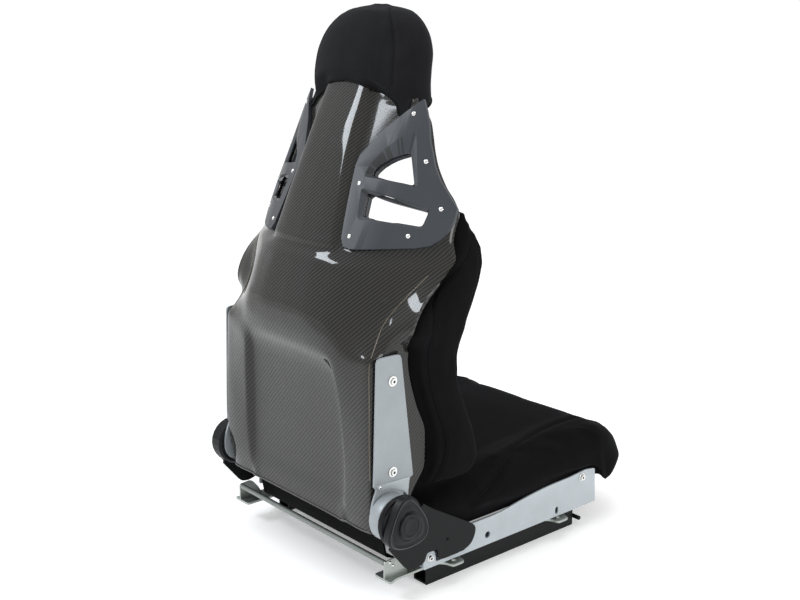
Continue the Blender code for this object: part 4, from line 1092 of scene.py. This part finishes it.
# ================================================================ padded pieces
def soft_from(node, shrink, voxel, rounds, cap, weight=None, pressure=4.0):
    """Swollen cloth over the CAD node's own form."""
    src = nodes[node].data.copy()
    src.materials.clear()
    me = remeshed(src, voxel, node + "_soft")
    eased_volume(me, rounds)
    w = np.ones(len(me.vertices)) if weight is None else weight(coords(me))
    set_coords(me, coords(me) - normals(me) * (shrink * w)[:, None])
    me = inflated(me, cap, pressure, w)
    smoothed(me, 1, 0.4)
    me = subdivided(me, node + "_fine")
    return me


def hold_off(me, tree, ahead, reach=0.03):
    """Keeps points in front of a surface behind them."""
    co = coords(me)
    for i, (x, y, z) in enumerate(co):
        hit = tree.ray_cast(Vector((x, y - reach, z)), Vector((0, 1, 0)))[0]
        if hit is not None and hit.y - ahead < y and hit.y > y - reach:
            co[i, 1] = hit.y - ahead
    set_coords(me, co)


# border where the side bolster meets the shell: height, depth
BORDER = np.array([(0.167, 0.245), (0.198, 0.223), (0.222, 0.214), (0.259, 0.212), (0.305, 0.227),
                   (0.350, 0.243), (0.397, 0.252), (0.449, 0.256), (0.489, 0.254), (0.519, 0.233),
                   (0.545, 0.201), (0.575, 0.178), (0.628, 0.164)])


def bolster_weight(co):
    yb = np.interp(co[:, 2], BORDER[:, 0], BORDER[:, 1])
    ahead = np.clip((yb - co[:, 1] - 0.004) / 0.030, 0, 1)
    top = np.clip((0.632 - co[:, 2]) / 0.030, 0.15, 1)
    return ahead * top


me = soft_from("back_bolster_right", 0.0010, 0.0050, 12, 0.0055, bolster_weight)
co = coords(me)
yb = np.interp(co[:, 2], BORDER[:, 0], BORDER[:, 1])
push = 0.0085 * np.clip((yb - co[:, 1] - 0.012) / 0.030, 0, 1) * np.clip((co[:, 2] - 0.34) / 0.10, 0, 1) \
    * np.clip((0.628 - co[:, 2]) / 0.035, 0, 1) * np.clip((np.abs(co[:, 0]) - 0.18) / 0.03, 0, 1)
co[:, 0] -= 0.62 * push
co[:, 1] -= 0.78 * push
co[:, 1] += 0.0075 * np.exp(-((co[:, 2] - 0.490) / 0.042) ** 2) * np.clip((co[:, 1] - yb + 0.020) / 0.015, 0, 1) \
    * np.clip((np.abs(co[:, 0]) - 0.195) / 0.02, 0, 1)
set_coords(me, co)
bolster_tree = tree_of_mesh(me)
zs = np.linspace(0.186, 0.600, 90)
rear_seam = on_surface(bolster_tree, [(-0.10, np.interp(z, BORDER[:, 0], BORDER[:, 1]) - 0.0225, z) for z in zs],
                       (1, 0, 0), 0.0)
rear_seam = [p for p in rear_seam if p[0] < -0.18]
FRONT = np.array([(0.135, 0.112), (0.181, 0.1100), (0.230, 0.1120), (0.265, 0.1230), (0.305, 0.1400),
                  (0.350, 0.1570), (0.395, 0.1660), (0.440, 0.1620), (0.480, 0.1495), (0.515, 0.1380),
                  (0.545, 0.1335), (0.575, 0.1380), (0.605, 0.1490)])
front_seam = on_surface(bolster_tree, [(-0.10, np.interp(z, FRONT[:, 0], FRONT[:, 1]) + 0.004, z)
                                       for z in zs[:-3]], (1, 0, 0), 0.0)
front_seam = [p for p in front_seam if p[0] < -0.16]


def eased(line, rounds=6):
    p = np.array(line, float)
    for _ in range(rounds):
        p[1:-1] = 0.25 * p[:-2] + 0.5 * p[1:-1] + 0.25 * p[2:]
    return p


rear_seam, front_seam = eased(rear_seam), eased(front_seam)
groove(me, rear_seam, 0.0019, 0.0032, 0.0009)
groove(me, front_seam, 0.0016, 0.0030, 0.0007)
bolster_tree = tree_of_mesh(me)


def bead_on(tree, line, direction, radius, lift):
    pts = on_surface(tree, line, direction, lift)
    return tube_mesh(eased(pts, 3), radius, 6) if len(pts) > 5 else None


def parallel(line, dy, dz=0.0):
    return [(x, y + dy, z + dz) for x, y, z in line]


parts = [bead_on(bolster_tree, rear_seam, (1, 0, 0), 0.0007, 0.0001),
         bead_on(bolster_tree, parallel(rear_seam, -0.0042), (1, 0, 0), 0.00045, 0.0001),
         bead_on(bolster_tree, front_seam, (1, 0, 0), 0.0011, 0.0003)]
seam_me = join_meshes([p for p in parts if p])
for tag, s in SIDES:
    o = new_object("back_bolster_cover_" + tag, me if s < 0 else mirrored(me), SUEDE, "backrest",
                   80)
    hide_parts("back_bolster_" + tag)
    new_object("back_bolster_seams_" + tag, seam_me if s < 0 else mirrored(seam_me), PIPING, "backrest")

# shoulder pads behind the bezels
def shoulder_weight(co):
    return np.full(len(co), 0.9)


me = soft_from("shoulder_pad_right", 0.0012, 0.0035, 4, 0.0030, shoulder_weight, 3.0)
for tag, s in SIDES:
    o = new_object("shoulder_pad_cover_" + tag, me if s < 0 else mirrored(me), SUEDE, "backrest",
                   80)
    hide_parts("shoulder_pad_" + tag)


# backrest pad between the bolsters
def back_weight(co):
    return np.clip((0.300 - co[:, 1]) / 0.030, 0.0, 1)


me = soft_from("backrest_pad", 0.0030, 0.0055, 10, 0.0090, back_weight)
pad_tree = tree_of_mesh(me)
lines = []
for s in (-1, 1):
    xs = [(0.112, 0.200), (0.114, 0.300), (0.112, 0.400), (0.104, 0.480), (0.082, 0.530), (0.046, 0.575),
          (0.040, 0.650), (0.032, 0.740), (0.026, 0.785)]
    path = catmull([(s * x, 0.0, z) for x, z in xs], 8, False)
    lines.append(eased(on_surface(pad_tree, path, (0, 1, 0), 0.0)))
for z in (0.300, 0.420):
    path = [(x, 0.0, z - 0.010 * (1 - (x / 0.112) ** 2)) for x in np.linspace(-0.112, 0.112, 40)]
    lines.append(eased(on_surface(pad_tree, path, (0, 1, 0), 0.0)))
for line in lines:
    groove(me, line, 0.0026, 0.0042, 0.0012)
pad_tree = tree_of_mesh(me)
parts = [bead_on(pad_tree, line, (0, 1, 0), 0.0007, 0.0001) for line in lines]
o = new_object("backrest_pad_cover", me, SUEDE, "backrest", 80)
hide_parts("backrest_pad")
new_object("backrest_pad_seams", join_meshes([p for p in parts if p]), PIPING, "backrest")


# cloth skirt below the pad and the bolsters, hanging just behind the cushion
verts, faces, around, along = [], [], 32, 80
for i in range(along + 1):
    x = -0.198 + 0.396 * i / along
    top = 0.1900 if abs(x) < 0.147 else 0.1785
    low = 0.1185 + 0.0006 * math.sin(41.0 * x + 0.4)
    full = 1 - (abs(x) / 0.1985) ** 40
    for k in range(around):
        a = 2 * math.pi * k / around
        c, sn = math.cos(a), math.sin(a)
        z = 0.5 * (top + low) + 0.5 * (top - low) * math.copysign(abs(sn) ** 0.45, sn)
        fold = 0.0007 * math.sin(37.0 * x + 9.0 * z) + 0.0005 * math.sin(83.0 * x - 21.0 * z)
        verts.append((x, 0.2662 + fold + 0.0024 * max(full, 0.25) * math.copysign(abs(c) ** 0.6, c), z))
for i in range(along):
    for k in range(around):
        k2 = (k + 1) % around
        faces.append((i * around + k, i * around + k2, (i + 1) * around + k2, (i + 1) * around + k))
faces.append(tuple(range(around)))
faces.append(tuple(along * around + k for k in range(around)))
new_object("backrest_skirt", mesh_from(verts, faces), SUEDE, "backrest", 70)


# seat cushion
def cushion_weight(co):
    low = np.clip((co[:, 2] - 0.094) / 0.016, 0, 1)
    nose = np.clip((-0.190 - co[:, 1]) / 0.02, 0, 1)
    rear = np.clip((0.235 - co[:, 1]) / 0.03, 0, 1)
    return np.maximum(low, nose) * rear


me = soft_from("seat_cushion", 0.0030, 0.0055, 12, 0.0085, cushion_weight)
co = coords(me)
co[:, 2] += 0.0050 * np.clip((co[:, 2] - 0.12) / 0.05, 0, 1) * np.clip((0.20 - co[:, 1]) / 0.05, 0, 1)
set_coords(me, co)
cush_tree = tree_of_mesh(me)
seam_top = [(-0.2270, 0.112), (-0.2205, 0.080), (-0.2070, 0.040), (-0.1880, -0.004), (-0.1720, -0.050),
            (-0.1600, -0.100), (-0.1540, -0.150), (-0.1550, -0.200), (-0.1620, -0.240), (-0.1700, -0.262),
            (-0.1750, -0.276)]
lines = []
for s in (-1, 1):
    path = catmull([(-s * x, y, 0.40) for x, y in seam_top], 8, False)
    lines.append(eased(on_surface(cush_tree, path, (0, 0, -1), 0.0), 4))
for line in lines:
    groove(me, line, 0.0026, 0.0050, 0.0012)
cush_tree = tree_of_mesh(me)
parts = [bead_on(cush_tree, [(x, y, 0.40) for x, y, z in line], (0, 0, -1), 0.0007, 0.0001) for line in lines]
o = new_object("seat_cushion_cover", me, SUEDE, "seat_base", 80)
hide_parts("seat_cushion")
new_object("seat_cushion_seams", join_meshes([p for p in parts if p]), PIPING, "seat_base")

def stud_mesh(x, y, z, side, profile, spokes=24):
    verts, faces = [], []
    for r, h in profile:
        for k in range(spokes):
            a = 2 * math.pi * k / spokes
            verts.append((side * (x + h), y + r * math.cos(a), z + r * math.sin(a)))
    for i in range(len(profile) - 1):
        for k in range(spokes):
            k2 = (k + 1) % spokes
            faces.append((i * spokes + k, (i + 1) * spokes + k, (i + 1) * spokes + k2, i * spokes + k2))
    faces.append(tuple(range(spokes)))
    faces.append(tuple((len(profile) - 1) * spokes + k for k in range(spokes)))
    return mesh_from(verts, faces)


# ================================================================ recliner: dome, handwheel, cap
AXIS_Y, AXIS_Z = 0.300, 0.153


def step(x, a, b):
    t = min(max((x - a) / (b - a), 0.0), 1.0)
    return t * t * (3 - 2 * t)


def dome_height(share, a):
    r = 0.0430 * share
    h = 0.0085 - 0.0030 * step(share, 0.72, 0.97) - 0.0024 * step(share, 0.955, 1.0)
    ang = math.degrees(a) % 360
    along = step(ang, 28, 40) * (1 - step(ang, 128, 140))
    h -= 0.0022 * along * math.exp(-((r - 0.0375) / 0.0016) ** 2)
    along = step(ang, 205, 215) * (1 - step(ang, 318, 330))
    h -= 0.0016 * along * math.exp(-((r - 0.0375) / 0.0014) ** 2)
    return h


rings = list(np.linspace(0.16, 0.70, 10)) + list(np.linspace(0.72, 1.0, 34))
me = polar_piece(AXIS_Y, AXIS_Z, -1, 0.2430, lambda a: 0.0430, dome_height, rings + [1.0001], 120)
# straight wall down to the bracket
bm = bmesh.new()
bm.from_mesh(me)
bm.to_mesh(me)
bm.free()
o = new_object("recliner_dome_right", me, BLACKPLASTIC, "seat_base", 45)
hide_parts("recliner_cover_right")
wall = polar_piece(AXIS_Y, AXIS_Z, -1, 0.2402, lambda a: 0.04302,
                   lambda q, a: 0.0059 if q < 0.975 else (0.0052 if q < 0.999 else 0.0028),
                   [0.2, 0.97, 0.98, 0.9995, 1.0], 120)
new_object("recliner_dome_wall_right", wall, BLACKPLASTIC, "seat_base", 45)

# silver edge of the joint between dome and arm
disc = stud_mesh(0.2122, AXIS_Y, AXIS_Z, -1, [(0.0080, 0.0246), (0.0372, 0.0246), (0.0384, 0.0234), (0.0388, 0.0218),
                                             (0.0388, 0.0030), (0.0370, 0.0)], 96)
# joint disc in the darker copy of the silver paint: painted shade
o = new_object("recliner_joint_disc_right", disc, SHADED_ARM_SILVER, "seat_base", 35)
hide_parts("recliner_disc_right")

# far side: low cap with a raised ring
me = polar_piece(AXIS_Y, AXIS_Z, 1, 0.2430, lambda a: 0.0345,
                 lambda q, a: 0.0040 - 0.0016 * step(q, 0.80, 1.0) - 0.0010 * math.exp(-((q - 0.62) / 0.05) ** 2),
                 list(np.linspace(0.06, 1.0, 34)), 96)
o = new_object("recliner_dome_left", me, BLACKPLASTIC, "seat_base", 45)
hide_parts("recliner_cover_left")

WHEEL = [(0.2980, 0.1990), (0.2868, 0.1905), (0.2742, 0.1749), (0.2635, 0.1581),
         (0.2585, 0.1431), (0.2590, 0.1290), (0.2665, 0.1195), (0.2810, 0.1150),
         (0.2990, 0.1135), (0.3160, 0.1155), (0.3310, 0.1215), (0.3395, 0.1300),
         (0.3410, 0.1400), (0.3370, 0.1550), (0.3280, 0.1755), (0.3180, 0.1910),
         (0.3090, 0.1985)]
loop = catmull(WHEEL, 12)
ang = np.arctan2(loop[:, 1] - AXIS_Z, loop[:, 0] - AXIS_Y)
rad = np.hypot(loop[:, 1] - AXIS_Z, loop[:, 0] - AXIS_Y)
order = np.argsort(ang)
ang, rad = ang[order], rad[order]
ang = np.concatenate([ang - 2 * math.pi, ang, ang + 2 * math.pi])
rad = np.concatenate([rad] * 3)


def wheel_radius(a):
    return float(np.interp(a, ang, rad))


def wheel_height(share, a):
    """Face dished towards the cap, rounded shoulder, straight side."""
    if share >= 1.0:
        return 0.0150 - 0.0030 - (share - 1.0) * 10.0
    edge = step(share, 0.86, 1.0)
    r = wheel_radius(a) * share
    return (0.0150 - 0.0030 * edge * edge - 0.0016 * step(share, 0.60, 0.80) * (1 - step(share, 0.80, 0.93))
            - 0.0010 * math.exp(-((r - 0.0232) / 0.0010) ** 2))


rings = list(np.linspace(0.20, 0.55, 10)) + list(np.linspace(0.56, 0.999, 40)) + [1.0, 1.0002, 1.0006,
                                                                                1.0010, 1.00118]
me = polar_piece(AXIS_Y, AXIS_Z, -1, 0.2525, wheel_radius, wheel_height, rings, 160)
o = new_object("handwheel_grip", me, BLACKPLASTIC, "recliner_drive", 50)
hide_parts("handwheel")
# painted highlight: a lighter line round the wheel's shoulder
line = []
for k in range(160):
    a = 2 * math.pi * k / 160
    r = wheel_radius(a) * 0.925
    line.append((-(0.2525 + wheel_height(0.925, a) + 0.00005), AXIS_Y + r * math.cos(a), AXIS_Z + r * math.sin(a)))
new_object("handwheel_bead", tube_mesh(line, 0.00045, 6, True),
           plastic_material("painted_shoulder_highlight", (0.055, 0.058, 0.064), 0.30), "recliner_drive")


def cap_height(share, a):
    r = 0.0215 * share
    h = 0.0034 - 0.0012 * step(share, 0.90, 1.0)
    h -= 0.0010 * math.exp(-((r - 0.0150) / 0.0009) ** 2)
    h -= 0.0007 * (1 - step(r, 0.0020, 0.0130))
    return h


me = polar_piece(AXIS_Y, AXIS_Z, -1, 0.2678, lambda a: 0.0215, cap_height,
                 list(np.linspace(0.04, 1.0, 50)) + [1.0001], 96)
o = new_object("handwheel_hub_cap", me, BLACKPLASTIC, "recliner_drive", 45)
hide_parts("handwheel_cap")

# ================================================================ small fittings
def plate_piece(name, outline, x0, x1, side, mat, body, bevel=0.0006):
    bm = flat_mesh([outline] if isinstance(outline[0][0], float) else outline, 1.0)
    for v in bm.verts:
        w = x1 if v.co.z > 0 else x0
        v.co = (side * w, v.co.x, v.co.y)
    bmesh.ops.recalc_face_normals(bm, faces=bm.faces)
    me = bpy.data.meshes.new(name)
    bm.to_mesh(me)
    bm.free()
    o = bpy.data.objects.new(name, me)
    scene.collection.objects.link(o)
    b = o.modifiers.new("edges", "BEVEL")
    b.width = bevel
    b.segments = 2
    b.limit_method = "ANGLE"
    b.angle_limit = math.radians(40)
    me = applied(o, name)
    drop(o)
    return new_object(name, me, mat, body, 35)


RIVET = [(0.0003, 0.0016), (0.0012, 0.0015), (0.0022, 0.0011), (0.0028, 0.0004), (0.0030, -0.0010)]
fitting = rounded([(0.3225, 0.2080), (0.2520, 0.2055), (0.2535, 0.1990), (0.2560, 0.1800), (0.2560, 0.1735),
                   (0.2660, 0.1850), (0.2900, 0.1960), (0.3170, 0.1990)], [0.003, 0.003, 0.003, 0.004, 0.004,
                                                                             0.006, 0.006, 0.003], 3)
for tag, s in SIDES:
    plate_piece("recliner_hinge_flange_" + tag, fitting, 0.2119, 0.2134, s, SILVER, "backrest")
    new_object("recliner_flange_rivet_" + tag, stud_mesh(0.2132, 0.3140, 0.2035, s, RIVET), STAINLESS,
               "backrest", 30)
    studs = [stud_mesh(0.2106, 0.2925, 0.0665, s, RIVET), stud_mesh(0.2106, 0.2862, 0.0595, s, RIVET)]
    new_object("rail_tab_rivets_" + tag, join_meshes(studs), STAINLESS, "floor_rails",
               30)
    # dimple with its raised lip in the bracket
    ringm = [(0.0003, 0.0001), (0.0018, 0.0001), (0.0024, 0.0006), (0.0036, 0.0006), (0.0042, -0.0003)]
    new_object("bracket_boss_" + tag, stud_mesh(0.2424, 0.1953, 0.0891, s, ringm), BLACKSTEEL, "seat_base",
               30)
    # dark hexagon in each arm bolt: painted shadow of its hex socket
    hexes = []
    for by, bz in ((0.288, 0.374), (0.288, 0.223)):
        hexes.append(stud_mesh(0.2171, by, bz, s, [(0.0006, 0.00018), (0.0023, 0.00018), (0.0024, 0.0)], 6))
    new_object("arm_bolt_sockets_" + tag, join_meshes(hexes), HEX_RECESS_SHADOW, "backrest", 30)
    # dark hexagon in each side plate bolt: painted shadow of its hex socket
    hexes = [stud_mesh(0.2414, -0.1426, 0.1040, s, [(0.0006, 0.00018), (0.0021, 0.00018), (0.0022, 0.0)], 6),
             stud_mesh(0.2414, 0.2290, 0.0640, s, [(0.0006, 0.00018), (0.0021, 0.00018), (0.0022, 0.0)], 6)]
    new_object("side_bolt_sockets_" + tag, join_meshes(hexes), HEX_RECESS_SHADOW, "seat_base", 30)
    # pressed rib along the top of the black floor rail
    rib = [(s * 0.2125, y, 0.0295) for y in np.linspace(-0.144, 0.208, 12)]
    new_object("floor_rail_rib_" + tag, tube_mesh(rib, 0.0012, 8), BLACKSTEEL, "floor_rails")

# painted highlight: a pale line where the shell's back face turns into its flank
turn = []
for z in np.linspace(0.2150, 0.5380, 90):
    w, y = pchip(ROW_Z, CAGE[:, 6], [z])[0]
    turn.append((w, y, z))
glint = []
for s in (-1, 1):
    line = []
    for w, y, z in eased(turn, 8):
        hit, nrm, _, _ = shell_tree.find_nearest(Vector((s * (w + 0.002), y + 0.004, z)))
        if hit is not None:
            line.append(tuple(hit + nrm * 0.00005))
    glint.append(tube_mesh(eased(line, 6), 0.00080, 6))
new_object("shell_crease_line", join_meshes(glint), plastic_material("painted_crease_highlight", (0.105, 0.088, 0.060), 0.22, 800.0,
                                                                      0.00003), "backrest")

# lacquered edge bead along the shell's free lower edge
edge = [(s * w, y + 0.0002, 0.1208) for s, seq in ((-1, dense[0][::-1]), (1, dense[0][1:])) for w, y in seq
        if w < 0.2060]
bead = tube_mesh(edge[::2], 0.0017, 8)
new_object("shell_lower_edge", bead, plastic_material("lacquered_edge", (0.050, 0.048, 0.045), 0.16, 800.0,
                                                       0.00003), "backrest")

# ================================================================ floor, lights, camera
fl = bpy.data.meshes.new("floor")
fl.from_pydata([(-160, -160, -0.0005), (160, -160, -0.0005), (160, 160, -0.0005), (-160, 160, -0.0005)], [],
               [(0, 1, 2, 3)])
floor = bpy.data.objects.new("studio_floor", fl)
scene.collection.objects.link(floor)
g = Graph("studio_floor", Roughness=0.55, Specular_IOR_Level=0.15, Emission_Color=rgb(1, 1, 1),
          Emission_Strength=0.29)
g.link(g.mix(g.noise(3.0), rgb(0.90, 0.90, 0.90), rgb(0.93, 0.93, 0.93)), "Base Color")
fl.materials.append(g.m)
floor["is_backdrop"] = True

world = bpy.data.worlds.new("studio") if scene.world is None else scene.world
scene.world = world
world.use_nodes = True
bg = world.node_tree.nodes.get("Background") or world.node_tree.nodes.new("ShaderNodeBackground")
bg.inputs[0].default_value = rgb(1.0, 1.0, 1.0)
bg.inputs[1].default_value = 0.80


def area(name, at, to, size, power, colour=(1, 1, 1)):
    l = bpy.data.lights.new(name, "AREA")
    l.shape = "RECTANGLE"
    l.size, l.size_y = size
    l.energy = power
    l.color = colour
    o = bpy.data.objects.new(name, l)
    scene.collection.objects.link(o)
    o.location = at
    o.rotation_euler = (Vector(to) - Vector(at)).to_track_quat("-Z", "Y").to_euler()
    return o


area("back_box", (1.24, 2.15, 2.19), (-0.04, 0.22, 0.76), (1.08, 0.62), 36, (0.88, 0.94, 1.0))
area("lip_box", (1.35, 0.85, 2.75), (-0.15, 0.27, 0.56), (1.0, 0.9), 12, (0.92, 0.96, 1.0))
area("top_box", (-0.6, 0.0, 3.0), (0, 0.1, 0.4), (1.4, 1.0), 14)
area("side_box", (-3.0, -0.4, 1.1), (0, 0.1, 0.2), (1.2, 1.0), 24)

cam = bpy.data.cameras.new("camera")
cam.lens = 54.41
cam.sensor_width = 36.0
cam_o = bpy.data.objects.new("camera", cam)
scene.collection.objects.link(cam_o)
h, p = math.radians(-40.731), math.radians(14.445)
d = Vector((math.cos(h) * math.cos(p), math.sin(h) * math.cos(p), -math.sin(p)))
r = Vector((math.sin(h), -math.cos(h), 0))
u = r.cross(d)
rot = Matrix((r, u, -d)).transposed().to_4x4()
rot.translation = Vector((-1.5753, 1.4462, 0.9651))
cam_o.matrix_world = rot
scene.camera = cam_o
scene.view_settings.view_transform = "Standard"

lo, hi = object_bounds()
